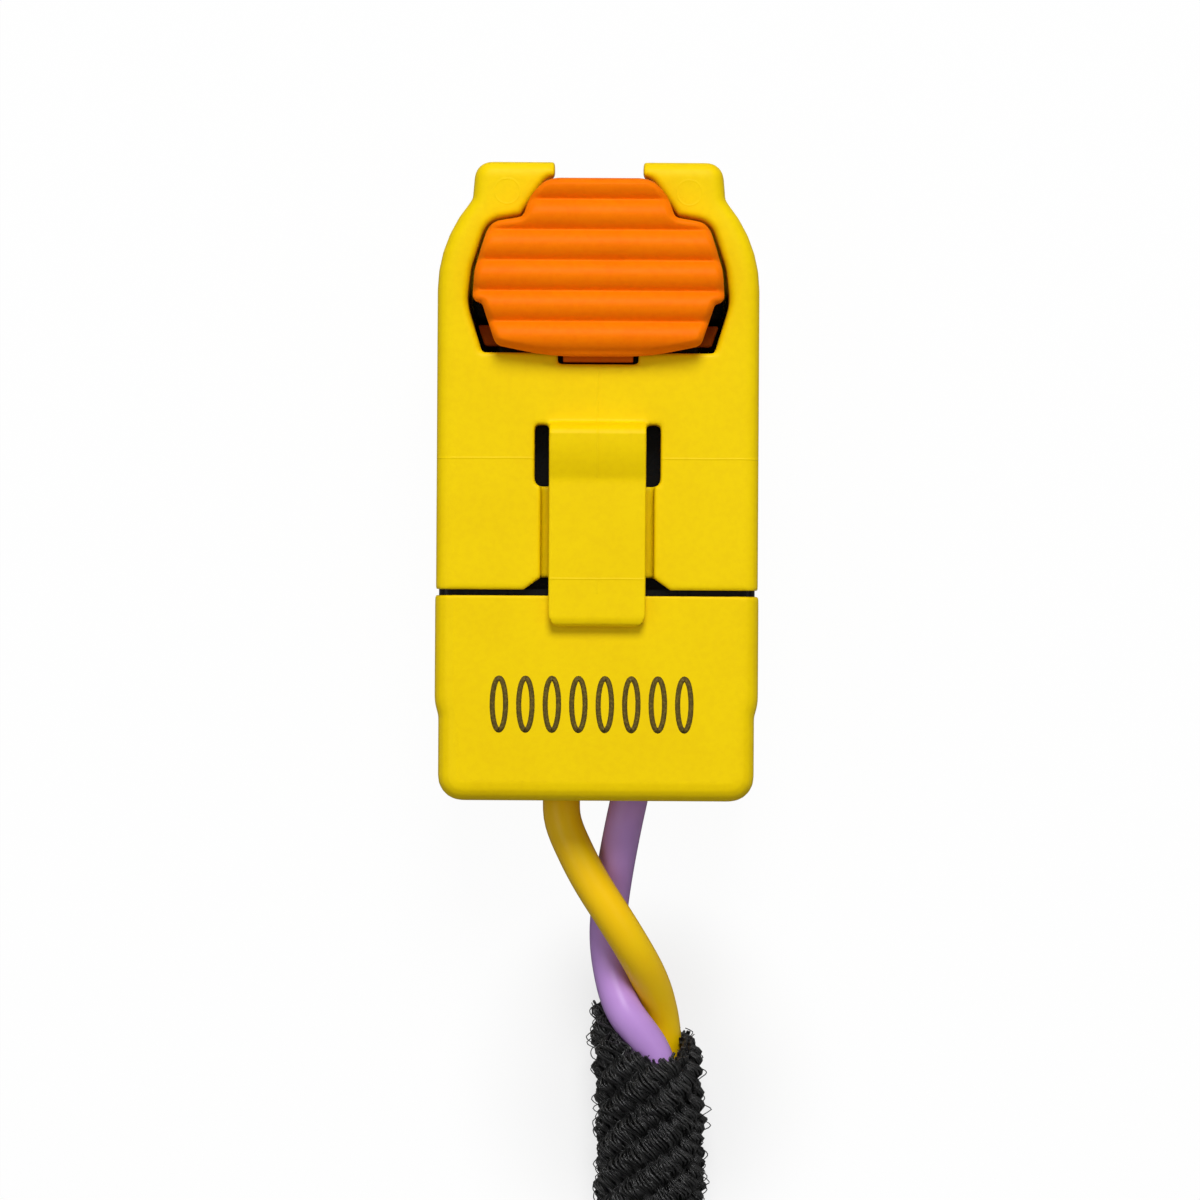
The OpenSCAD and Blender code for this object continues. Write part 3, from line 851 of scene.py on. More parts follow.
def smooth_line(points: list[tuple[float, float, float]], step: float) -> np.ndarray:
    """A natural cubic spline through points.

    Args:
        points: The points.
        step: The spacing of the result.

    Returns:
        The points of the line.
    """
    given = np.array(points, float)
    at = lengths(given)
    gap, n = np.diff(at), len(given)
    system, right = np.eye(n), np.zeros((n, 3))
    slope = np.diff(given, axis=0) / gap[:, None]
    for i in range(1, n - 1):
        system[i, i - 1 : i + 2] = gap[i - 1], 2 * (gap[i - 1] + gap[i]), gap[i]
        right[i] = 6 * (slope[i] - slope[i - 1])
    bend = np.linalg.solve(system, right)
    where = spaced(at[-1], step)
    i = np.clip(np.searchsorted(at, where, side="right") - 1, 0, n - 2)
    a, b, h = (at[i + 1] - where)[:, None], (where - at[i])[:, None], gap[i][:, None]
    return (
        bend[i] * a**3 / (6 * h)
        + bend[i + 1] * b**3 / (6 * h)
        + (given[i] / h - bend[i] * h / 6) * a
        + (given[i + 1] / h - bend[i + 1] * h / 6) * b
    )


def ease(x: np.ndarray) -> np.ndarray:
    """0 below 0, 1 above 1, and a smooth step between."""
    x = np.clip(x, 0, 1)
    return x * x * (3 - 2 * x)


def ringed(name: str, rings: Any) -> bpy.types.Mesh:
    """A closed surface through rings of points, the last ring joined to the first.

    Args:
        name: The mesh's name.
        rings: The rings, in millimetres, each with as many points.

    Returns:
        The mesh, in metres, with its faces outwards.
    """
    points = np.array(rings, float)
    count, sides = points.shape[:2]
    faces = []
    for i in range(count):
        here, there = i * sides, (i + 1) % count * sides
        for k in range(sides):
            after = (k + 1) % sides
            faces.append((here + k, here + after, there + after, there + k))
    mesh = bpy.data.meshes.new(name)
    mesh.from_pydata((points.reshape(-1, 3) * MM).tolist(), [], faces)
    work = bmesh.new()
    work.from_mesh(mesh)
    bmesh.ops.recalc_face_normals(work, faces=work.faces)
    work.to_mesh(mesh)
    work.free()
    return mesh


@dataclass(frozen=True)
class Hoop:
    """A flat band round a box with round corners, in millimetres."""

    low: tuple[float, float]
    high: tuple[float, float]
    thick: float
    corners: tuple[float, float]
    steps: int

    def outline(self, inset: float, r: float) -> list[tuple[float, float]]:
        """One of its two outlines.

        Args:
            inset: How far it lies inside the box.
            r: Its corners' radius.

        Returns:
            The outline's points, in turning order.
        """
        y0, z0 = (v + inset + r for v in self.low)
        y1, z1 = (v - inset - r for v in self.high)
        points = []
        for y, z, start in ((y1, z1, 0), (y0, z1, 90), (y0, z0, 180), (y1, z0, 270)):
            for k in range(self.steps + 1):
                a = math.radians(start + 90 * k / self.steps)
                points.append((y + r * math.cos(a), z + r * math.sin(a)))
        return points

    def mesh(self, name: str, start: float, end: float, axis: int) -> bpy.types.Mesh:
        """Its surface.

        Args:
            name: The mesh's name.
            start: Where it starts along its axis.
            end: Where it ends.
            axis: The axis that it goes round, 0 for X or 1 for Y.

        Returns:
            The mesh, in metres.
        """
        outer, inner = self.outline(0, self.corners[0]), self.outline(self.thick, self.corners[1])
        rings = [
            [(a, u, v) if axis == 0 else (u, a, v) for u, v in loop]
            for a, loop in ((start, outer), (end, outer), (end, inner), (start, inner))
        ]
        return ringed(name, rings)


# ---------------------------------------------------------------- pigtail


@dataclass(frozen=True)
class Yarns:
    """One family of yarns of the braid, in millimetres."""

    name: str
    count: int
    plies: int
    lead: float
    radius: float
    swell: float
    width: float
    height: float
    ply_r: float
    sides: int
    step: float
    loose: float
    phase: float = 0.0
    ridges: int = 6
    ridge_lead: float = 9.97

    def grown(self, line: np.ndarray, along: np.ndarray, pinch: np.ndarray, rim: "Rim") -> bpy.types.Mesh:
        """Lays the yarns round a stretch of the sleeve.

        Args:
            line: The sleeve's centreline.
            along: How far along the whole sleeve each of its points is.
            pinch: A factor for the sleeve's radius at each point.
            rim: The sleeve's oblique end.

        Returns:
            The yarns' mesh, in metres.
        """
        g = Growth("yarns_" + self.name)
        count, plies = g.size("Yarns", self.count), g.size("Plies", self.plies)
        lead, radius = g.size("Lead", self.lead), g.size("Radius", self.radius)
        swell, width = g.size("Swell", self.swell), g.size("Half width", self.width)
        height, loose = g.size("Half height", self.height), g.size("Looseness", self.loose)
        ply_r, sides = g.size("Ply radius", self.ply_r), g.size("Sides", self.sides)
        ridges, ridge_lead = g.size("Ridges", self.ridges), g.size("Ridge lead", self.ridge_lead)
        curves, number = g.copies(count * plies, g.size("Step", self.step))
        yarn = (number / plies).apply("FLOOR")
        ply = number - yarn * plies
        s = g.attribute("along")
        turn = yarn / count * math.tau + s / lead * math.tau + self.phase
        ridge = (turn - s / ridge_lead * math.tau) * ridges
        puff = g.sway(yarn * 2.3, s * 0.8, 3.0, 0.5) * loose + 1
        crest = (ridge.apply("COSINE") * 0.5 + 0.5).apply("POWER", 0.85) * puff.apply("MAXIMUM", 0.35)
        lay = ply / plies * math.tau + s * 0.9 + yarn * 1.7
        turn = turn + g.sway(yarn * 5.3, s * 0.45, 1.0, 0.055) * loose
        out = radius + crest * swell + g.sway(yarn * 3.1, s * 0.6, 9.0, 0.1) * loose
        wide = width * (crest * 0.45 + 0.55) / radius
        turn = turn + lay.apply("COSINE") * wide + g.sway(number * 7.7, s * 1.3, 4.0, 0.03) * loose
        out = out + lay.apply("SINE") * height * (crest * 0.3 + 0.7)
        out = out + g.sway(number * 9.1, s * 1.5, 7.0, 0.07) * loose
        past = s - rim.expression(turn)
        out = (out - (1 - past.band(0, 0.9)) * 0.22) * g.attribute("pinch")
        shape = g.store(curves, "tone", g.chance(3, number))
        shape = g.store(shape, "past", past + g.sway(number * 4.7, 2.0, 0.5, 0.3) * loose)
        inputs = {"Geometry": g.swung(shape, turn, out), "Selection": g.attribute("past") < 0.0}
        shape = g.node("GeometryNodeDeleteGeometry", {"domain": "POINT"}, inputs)[0]
        return g.grown(g.tube(shape, ply_r, sides), polyline(line, along=along, pinch=pinch), Finish.BRAID)


@dataclass(frozen=True)
class Rim:
    """The sleeve's oblique end: how far along it the yarns start, round its section."""

    terms: tuple[float, ...] = (1.63, 0.99, 0.87, -0.38, -0.04)

    def expression(self, turn: Value) -> Value:
        """The start at an angle, as nodes.

        Args:
            turn: The angle in the section.

        Returns:
            How far along the sleeve the yarns start.
        """
        a, c1, s1, c2, s2 = self.terms
        two = turn * 2
        return (
            turn.apply("COSINE") * c1 + turn.apply("SINE") * s1
            + two.apply("COSINE") * c2 + two.apply("SINE") * s2 + a
        )

    def at(self, turn: np.ndarray) -> np.ndarray:
        """The start at each angle."""
        a, c1, s1, c2, s2 = self.terms
        return a + c1 * np.cos(turn) + s1 * np.sin(turn) + c2 * np.cos(2 * turn) + s2 * np.sin(2 * turn)


@dataclass(frozen=True)
class Tie:
    """The nylon tie: a band with its head and its cut end on top, in millimetres."""

    width: float = 2.6
    thick: float = 0.45
    bite: float = 0.25
    low: float = 0.02
    sunk: float = 0.15
    corners: tuple[float, float] = (2.2, 1.8)
    head: tuple[float, float, float] = (3.9, 3.6, 2.4)
    head_at: tuple[float, float] = (0.0, 1.0)
    stub: tuple[float, float, float] = (2.4, 0.9, 3.6)
    stub_at: tuple[float, float] = (0.5, 1.4)
    edge: float = 0.15
    squeeze: float = 0.12
    reach: float = 2.2

    def build(self, x: float, sides: tuple[float, float], top: float, head_y: float, body: str) -> None:
        """Makes the tie.

        Args:
            x: Where its band is centred.
            sides: The outer sides of what it holds, in Y.
            top: The height of what it holds.
            head_y: Where its head sits.
            body: The body that it rides on.
        """
        top -= self.sunk
        hoop = Hoop(
            (sides[0] + self.bite, self.low), (sides[1] - self.bite, top), self.thick, self.corners, 10
        )
        mesh = hoop.mesh("coil_tie_band", x - self.width / 2, x + self.width / 2, 0)
        work = bmesh.new()
        work.from_mesh(mesh)
        for size, (dy, dz) in ((self.head, self.head_at), (self.stub, self.stub_at)):
            block = bmesh.ops.create_cube(work, size=1.0)["verts"]
            bmesh.ops.scale(work, vec=[v * MM for v in size], verts=block)
            bmesh.ops.translate(work, vec=[v * MM for v in (x, head_y + dy, top + dz)], verts=block)
        work.to_mesh(mesh)
        work.free()
        mesh.shade_smooth()
        piece = placed("coil_tie_band", mesh, Finish.TIE, body)
        bevel = piece.modifiers.new("edges", "BEVEL")
        bevel.width, bevel.segments, bevel.angle_limit = self.edge * MM, 3, math.radians(40)
        weighted(piece)
        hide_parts("coil_tie")


@dataclass(frozen=True)
class Lead:
    """One wire, in millimetres: its finish and its way from the cap to its stripped end.

    The way's points are the route's, and settled is how far in X and Z each has sunk. In the sleeve
    the wire starts at the first angle, in degrees, and at the spiral's distance from the centreline,
    and the steady twist starts from the last angle. The tail's points are angle, distance and height
    beside the coil's centre.
    """

    colour: str
    finish: Finish
    way: tuple[tuple[float, float, float], ...]
    settled: tuple[tuple[float, float], ...]
    first: float
    last: float
    spiral: float
    tail: tuple[tuple[float, float, float], ...]


YELLOW_LEAD = Lead(
    "yellow", Finish.YELLOW,
    way=(
        (-1.75, -15.92, 5.8), (-1.9, -17, 5.9), (-1.55, -18.4, 6), (-0.7, -20, 6.1), (0.6, -22.2, 6),
        (1.6, -23.8, 5.5), (2.7, -25.9, 4.1), (3.5, -27.8, 2.8), (3.75, -28.9, 2.3),
    ),
    settled=(
        (0, 0), (0.19, 0), (0.34, 0), (0.31, 0), (0.4, 0), (0.38, -0.1), (0.31, -0.4), (-0.02, -0.35),
        (-0.18, -0.15),
    ),
    first=-41, last=-41, spiral=1.13,
    tail=(
        (172, 19.3, 2.5), (161, 17.8, 1.3), (150, 16.15, 0.95), (138, 14.95, 0.95), (126, 12.75, 0.95),
        (114, 9.95, 0.95),
    ),
)
VIOLET_LEAD = Lead(
    "violet", Finish.VIOLET,
    way=(
        (1.75, -15.92, 5.8), (1.6, -17, 5.7), (1.15, -19.2, 5), (0.75, -21.4, 3.9), (0.55, -23.4, 3.3),
        (0.6, -25.3, 3.1), (1.2, -27.2, 3.5), (2.3, -28.9, 3.95),
    ),
    settled=(
        (0, 0), (-0.08, 0), (-0.04, 0), (0.04, 0), (0.12, 0), (0.32, 0.3), (0.42, 0.75), (0.53, 0.15),
    ),
    first=85.7, last=139, spiral=1.2,
    tail=(
        (171, 17.2, 3.0), (161, 15.0, 1.5), (150, 13.55, 0.95), (138, 11.45, 0.95), (125, 8.55, 0.95),
        (110, 5.55, 0.95),
    ),
)


@dataclass
class Pigtail:
    """The twisted pair and its braided sleeve, in millimetres."""

    body: str = "plug"
    wire_d: float = 1.9
    core_d: float = 1.1
    bare_l: float = 6.0
    sleeve_d: float = 5.8
    twist: float = 28.0
    coil_r: float = 29.0
    coil_turns: float = 1.5
    coil_c: tuple[float, float] = (-26.1, -70.4)
    tip: tuple[float, float, float] = (2.54, -26.5, 2.9)
    lead_end: float = 15.0
    liner_r: tuple[float, float] = (2.22, 1.98)
    liner_sides: int = 32
    liner_step: float = 0.8
    liner_in: tuple[float, float] = (0.35, 0.4)
    rim_l: float = 4.2
    hidden_from: float = 2.4
    settle_l: float = 8.0
    knots: tuple[int, int, int] = (20, -6, 12)
    leads: tuple[Lead, ...] = (YELLOW_LEAD, VIOLET_LEAD)
    wire_length: float = 0.306
    sleeve_length: float = 0.276
    rim: Rim = field(default_factory=Rim)
    tie_band: Tie = field(default_factory=Tie)
    line: np.ndarray = field(init=False)
    along: np.ndarray = field(init=False)

    def __post_init__(self) -> None:
        """Works out the sleeve's centreline: the straight run and the coil, wound inwards."""
        z = self.sleeve_d / 2
        first = smooth_line(
            [self.tip, (2.72, -28.9, z), (2.92, -33, z), (2.9, -37, z), (2.9, -41.5, z), (2.9, -55, z),
             (2.9, self.coil_c[1], z)],
            0.3,
        )
        turn = np.linspace(0, self.coil_turns * math.tau, 900)
        reach = self.coil_r - self.sleeve_d * turn / math.tau
        x, y = self.coil_c
        coil = np.stack([x + reach * np.cos(turn), y - reach * np.sin(turn), z + 0 * turn], axis=1)
        self.line = evenly(np.concatenate([first, coil[1:]]), 0.3)
        self.along = lengths(self.line)

    def polar(self, angle: float, reach: float, z: float) -> tuple[float, float, float]:
        """A point beside the coil's centre."""
        a = math.radians(angle)
        return (self.coil_c[0] + reach * math.cos(a), self.coil_c[1] + reach * math.sin(a), z)

    def inside(self, lead: Lead) -> np.ndarray:
        """A wire's way through the sleeve, wound round its centreline.

        Args:
            lead: The wire.

        Returns:
            The points.
        """
        hidden = self.along >= self.hidden_from
        s, line = self.along[hidden] - self.hidden_from, self.line[hidden]
        ahead = np.gradient(line, axis=0)
        ahead /= np.linalg.norm(ahead, axis=1)[:, None]
        side = np.cross(UP, ahead)
        settled = ease(s / self.settle_l)
        angle = np.radians(lead.first + (lead.last - lead.first) * settled) - math.tau * s / self.twist
        reach = lead.spiral + (self.wire_d / 2 + 0.02 - lead.spiral) * settled
        return line + (reach * np.cos(angle))[:, None] * side + (reach * np.sin(angle))[:, None] * UP

    def wire(self, lead: Lead) -> None:
        """Makes one wire from the cap to its stripped end.

        Args:
            lead: The wire's finish and way.
        """
        way = [(x + dx, y, z + dz) for (x, y, z), (dx, dz) in zip(lead.way, lead.settled)]
        tail = [self.polar(*point) for point in lead.tail]
        inner = self.inside(lead)[slice(*self.knots)]
        line = smooth_line([*way, *map(tuple, inner), *tail], 0.35)
        name = lead.colour + "_wire_run"
        curve = bpy.data.curves.new(name, "CURVE")
        curve.dimensions, curve.bevel_depth, curve.bevel_resolution = "3D", self.wire_d / 2 * MM, 5
        curve.use_fill_caps, curve.twist_mode = True, "MINIMUM"
        spline = curve.splines.new("POLY")
        spline.points.add(len(line) - 1)
        spline.points.foreach_set("co", np.c_[line * MM, np.ones(len(line))].ravel())
        spline.use_smooth = True
        piece = placed(name, curve, lead.finish, self.body)
        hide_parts(lead.colour + "_wire", lead.colour + "_tail")
        LOG.info("%s: %.1f mm", name, lengths(line)[-1])
        end = np.array(tail[-1])
        bare = self.strands(lead.colour, end, end - np.array(tail[-2]))
        [x * MM for x in way[0]]

    def strands(self, colour: str, end: np.ndarray, ahead: np.ndarray) -> bpy.types.Object:
        """The bare strands that stick out of a wire's end: one, six and twelve, twisted.

        Args:
            colour: The wire's colour.
            end: Where the insulation stops.
            ahead: The wire's direction there.

        Returns:
            The bundle.
        """
        line = end + np.linspace(-0.6, self.bare_l, 40)[:, None] * ahead / np.linalg.norm(ahead)
        g = Growth(colour + "_bare_strands")
        curves, number = g.copies(g.size("Strands", 19))
        outer = number > 6.5
        inner = (number > 0.5) * (1 - outer)
        s = g.attribute("along")
        lay = g.size("Strand", self.core_d / 5)
        splay = (s / self.bare_l).apply("MAXIMUM", 0.0).apply("POWER", 3.0)
        fray = g.sway(number * 3.1, s * 0.5, 0.0, 0.05) * splay
        out = (outer * 2 + inner) * lay * (1 + splay * 0.35) + fray
        turn = (outer * number / 12 + inner * number / 6) * math.tau + s * 0.42
        shape = g.tube(g.swung(curves, turn, out), lay * 0.5, 8)
        mesh = g.grown(shape, polyline(line, along=lengths(line)), Finish.COPPER)
        piece = placed(colour + "_bare_strands", mesh, Finish.COPPER, self.body)
        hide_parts(colour + "_strands")
        return piece

    def liner(self) -> bpy.types.Object:
        """The closed wall under the yarns, which ends inside the oblique rim.

        Returns:
            The liner.
        """
        angle = np.arange(self.liner_sides) / self.liner_sides * math.tau
        at = lengths(evenly(self.line, self.liner_step))
        last = self.along[-1] - self.liner_in[1]
        starts = [self.rim.at(angle) + self.liner_in[0]]
        starts += [np.full(self.liner_sides, min(s, last)) for s in at[at > self.rim_l]]
        ahead = np.gradient(self.line, self.along, axis=0)
        shells = []
        for radius in self.liner_r:
            shell = []
            for s in starts:
                centre, way = (
                    np.stack([np.interp(s, self.along, track[:, i]) for i in range(3)], axis=1)
                    for track in (self.line, ahead)
                )
                side = np.cross(UP, way / np.linalg.norm(way, axis=1)[:, None])
                shell.append(centre + radius * (np.cos(angle)[:, None] * side + np.sin(angle)[:, None] * UP))
            shells.append(shell)
        mesh = ringed("sleeve_liner", shells[0] + shells[1][::-1])
        mesh.shade_smooth()
        lay = np.tile(angle * 9, 2 * len(starts))
        y = [v.co.y / MM for v in mesh.vertices]
        thread = mesh.attributes.new("thread", "FLOAT_VECTOR", "POINT")
        thread.data.foreach_set("vector", np.c_[np.cos(lay), np.sin(lay), y].astype(np.float32).ravel())
        return placed("sleeve_liner", mesh, Finish.BRAID, self.body)

    def stretch(self, first: float, last: float) -> tuple[np.ndarray, np.ndarray, np.ndarray]:
        """The sleeve's centreline between two lengths, with what the yarns need there.

        Args:
            first: Where it starts.
            last: Where it ends.

        Returns:
            Its points, how far along they are, and the tie's squeeze there.
        """
        keep = (self.along >= first - 0.01) & (self.along <= last + 0.01)
        pinch = np.ones(keep.sum())
        tie = self.tie_band
        for place in self.tied_at():
            pinch -= tie.squeeze * np.exp(-(((self.along[keep] - place) / tie.reach) ** 4))
        return self.line[keep], self.along[keep], pinch

    def tied_at(self) -> list[float]:
        """How far along the sleeve the tie crosses it.

        Returns:
            The lengths.
        """
        angle = np.degrees(np.arctan2(self.line[:, 1] - self.coil_c[1], self.line[:, 0] - self.coil_c[0]))
        near = (np.abs(angle + 90) < 0.5) & (self.line[:, 1] < self.coil_c[1])
        places = self.along[near]
        return [float(g.mean()) for g in np.split(places, np.where(np.diff(places) > 5)[0] + 1)]

    def sleeve(self) -> None:
        """The braid: fine plies where it starts, thicker ones along the rest and the coil."""
        total = float(self.along[-1])
        close = [
            Yarns("mouth", 18, 13, -32.5, 2.08, 0.5, 0.45, 0.25, 0.068, 4, 0.2, 1.15),
            Yarns("mouth_under", 12, 6, 10.6, 2.2, 0.0, 0.34, 0.12, 0.075, 4, 0.2, 1.3, 0.26),
            Yarns("mouth_fuzz", 18, 3, -32.5, 2.24, 0.44, 0.5, 0.3, 0.032, 3, 0.12, 2.6, 0.1),
        ]
        far = Yarns("far", 18, 4, -32.5, 2.08, 0.5, 0.44, 0.24, 0.165, 4, 0.6, 1.15)
        for yarns in close:
            mesh = yarns.grown(*self.stretch(0, self.lead_end), self.rim)
            placed("sleeve_" + yarns.name, mesh, Finish.BRAID, self.body)
        ends = np.linspace(self.lead_end, total, 3)
        for k, (a, b) in enumerate(zip(ends[:-1], ends[1:])):
            mesh = far.grown(*self.stretch(a, b), self.rim)
            placed(f"sleeve_run_{k + 1}", mesh, Finish.BRAID, self.body)
        liner = self.liner()
        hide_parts("sleeve_lead", "sleeve_coil")

    def tie(self) -> None:
        """Ties the two turns together where the coil is lowest in plan."""
        x, y = self.coil_c
        middle = self.coil_r - 0.75 * self.sleeve_d
        sides = (y - middle - self.sleeve_d, y - middle + self.sleeve_d)
        self.tie_band.build(x, sides, self.sleeve_d, y - self.coil_r + 0.5 * self.sleeve_d, self.body)

    def build(self) -> None:
        for lead in self.leads:
            self.wire(lead)
        self.sleeve()
        self.tie()


# ---------------------------------------------------------------- plug


@dataclass(frozen=True)
class Fit:
    """Where the moulded surface lies beside the solid's: pairs of old and new place, in millimetres."""

    across: tuple[tuple[float, float], ...] = ((0, 0), (3.3, 3.3), (6.6, 6.53), (8.02, 8.07))
    along: tuple[tuple[float, float], ...] = (
        (-15.92, -16.02), (-7.22, -7.26), (-5.78, -5.72), (-5.5, -5.42), (-0.1, -0.24), (0.6, 0.55),
        (3.0, 3.0), (6.48, 6.44), (9.6, 9.6), (15.92, 16.02),
    )

    def __call__(self, points: np.ndarray) -> np.ndarray:
        """Moves points.

        Args:
            points: Points in millimetres.

        Returns:
            The moved points.
        """
        moved = points.copy()
        for axis, pairs in ((0, self.across), (1, self.along)):
            old, new = np.array(pairs).T
            value = np.abs(points[:, 0]) if axis == 0 else points[:, 1]
            beyond = np.maximum(value - old[-1], 0) + np.minimum(value - old[0], 0)
            place = np.interp(value, old, new) + beyond
            moved[:, axis] = np.copysign(place, points[:, 0]) if axis == 0 else place
        return moved


def rounding(depth: np.ndarray, r: float) -> np.ndarray:
    """How far a quarter round of radius r lies below its corner's level, at a depth from the edge."""
    return r - np.sqrt(np.maximum(r * r - (r - np.clip(depth, 0, r)) ** 2, 0))


def plan_edges(node: str, z: float, side: int) -> tuple[np.ndarray, np.ndarray]:
    """A CAD node's edges at a height, where an upright wall meets a level face.

    Args:
        node: The CAD node.
        z: The height, in millimetres.
        side: 1 for walls that rise from there, -1 for walls that end there.

    Returns:
        The edges' ends in plan, and their walls' normals.
    """
    work = bmesh.new()
    work.from_mesh(merged_copy(node))
    work.normal_update()
    ends, normals = [], []
    for edge in work.edges:
        a, b = (v.co for v in edge.verts)
        if abs(a.z - z) > 0.01 or abs(b.z - z) > 0.01:
            continue
        walls = [
            f.normal.xy[:] for f in edge.link_faces
            if abs(f.normal.z) < 0.1 and (f.calc_center_median().z - z) * side > 0
        ]
        if len(walls) == 1:
            ends.append((a.xy[:], b.xy[:]))
            normals.append(walls[0])
    work.free()
    return np.array(ends), np.array(normals)


def plan_distance(plan: np.ndarray, ends: np.ndarray) -> np.ndarray:
    """How far each point in plan is from the nearest of the edges.

    Args:
        plan: The points.
        ends: The edges' two ends, in plan.

    Returns:
        The distances.
    """
    distance = np.full(len(plan), 99.0)
    for a, b in ends:
        run = b - a
        share = np.clip((plan - a) @ run / (run @ run), 0, 1)
        distance = np.minimum(distance, np.linalg.norm(plan - a - share[:, None] * run, axis=1))
    return distance


@dataclass(frozen=True)
class LockShape:
    """The lock's ribs, rounded off at the pad's outline, in millimetres."""

    fit: Fit = Fit(across=((0, 0), (6.36, 6.3)), along=((5.9, 5.86), (6.23, 6.23), (15.04, 15.1)))
    pad_z: float = 11.75
    pad_top: float = 13.1
    level: float = 12.5
    ribs_from: float = 6.43
    rib_l: float = 1.51
    rib_h: float = 0.42
    edge_r: float = 0.45
    steady_x: float = 2.4
    bulge: float = 0.3
    bulge_y: tuple[float, float] = (13.0, 14.2)
    tip_y: float = 15.04
    corner_r: float = 0.9
    corner_in: float = 0.55

    def __call__(self, points: np.ndarray) -> np.ndarray:
        """Lays the ribs over the pad's whole top, and gives its front corners their curve.

        Args:
            points: The remeshed points, in millimetres.

        Returns:
            The moved points.
        """
        points = points.copy()
        top = np.where(points[:, 2] > self.level - self.edge_r)[0]
        distance = plan_distance(points[top, :2], plan_edges("lock_slide", self.pad_z, 1)[0])
        share = (points[top, 1] - self.ribs_from) / self.rib_l % 1
        height = self.pad_top - self.rib_h * (2 * share - 1) ** 2 - rounding(distance, self.edge_r)
        over = points[top, 2] > self.level
        points[top, 2] = np.where(over, height, np.minimum(points[top, 2], height))
        low, high = self.bulge_y
        reach = np.clip(np.abs(points[:, 0]) / self.steady_x, 0, 1)
        wider = self.bulge * ease((points[:, 1] - low) / (high - low))
        from_tip = np.clip(self.tip_y - points[:, 1], 0, self.corner_r)
        wider -= self.corner_in * rounding(from_tip, self.corner_r)
        points[:, 0] += np.sign(points[:, 0]) * wider * reach
        return self.fit(points)


@dataclass(frozen=True)
class ShellShape:
    """The housing's own roundings: the window's rim and the strap's end, in millimetres."""

    fit: Fit = Fit()
    face_z: float = 11.6
    rim_r: float = 0.3
    window: tuple[float, float] = (0.0, 10.6)
    sharp_y: float = 6.6
    rim_x: float = 2.3
    strap_z: float = 11.0
    strap_half: float = 2.42
    strap_end: float = -7.22
    strap_r: float = 0.6

    def rim(self) -> np.ndarray:
        """The window's upper edges, as pairs of points in plan, without its straight rear side.

        Returns:
            The edges' ends.
        """
        ends, normals = plan_edges("outer_housing", self.face_z, -1)
        middle = ends.mean(axis=1)
        inward = ((np.array(self.window) - middle) * normals).sum(axis=1) > 0
        return ends[inward & (middle[:, 1] > self.sharp_y) & (np.abs(middle[:, 0]) > self.rim_x)]

    def __call__(self, points: np.ndarray) -> np.ndarray:
        """Rounds the window's rim and the strap's end, and moves all points to the fit.

        Args:
            points: The remeshed points, in millimetres.

        Returns:
            The moved points.
        """
        points = points.copy()
        upper = points[:, 2] > self.face_z - self.rim_r - 0.15
        near = np.where(upper & (points[:, 1] > self.sharp_y - 0.2))[0]
        distance = plan_distance(points[near, :2], self.rim())
        top = self.face_z - rounding(distance, self.rim_r)
        keep = distance < self.rim_r
        points[near[keep], 2] = np.minimum(points[near[keep], 2], top[keep])
        end = points[:, 1] - self.strap_end
        free = (end < self.strap_r) & (points[:, 2] > self.strap_z)
        half = self.strap_half - rounding(end[free], self.strap_r)
        points[free, 0] = np.clip(points[free, 0], -half, half)
        return self.fit(points)


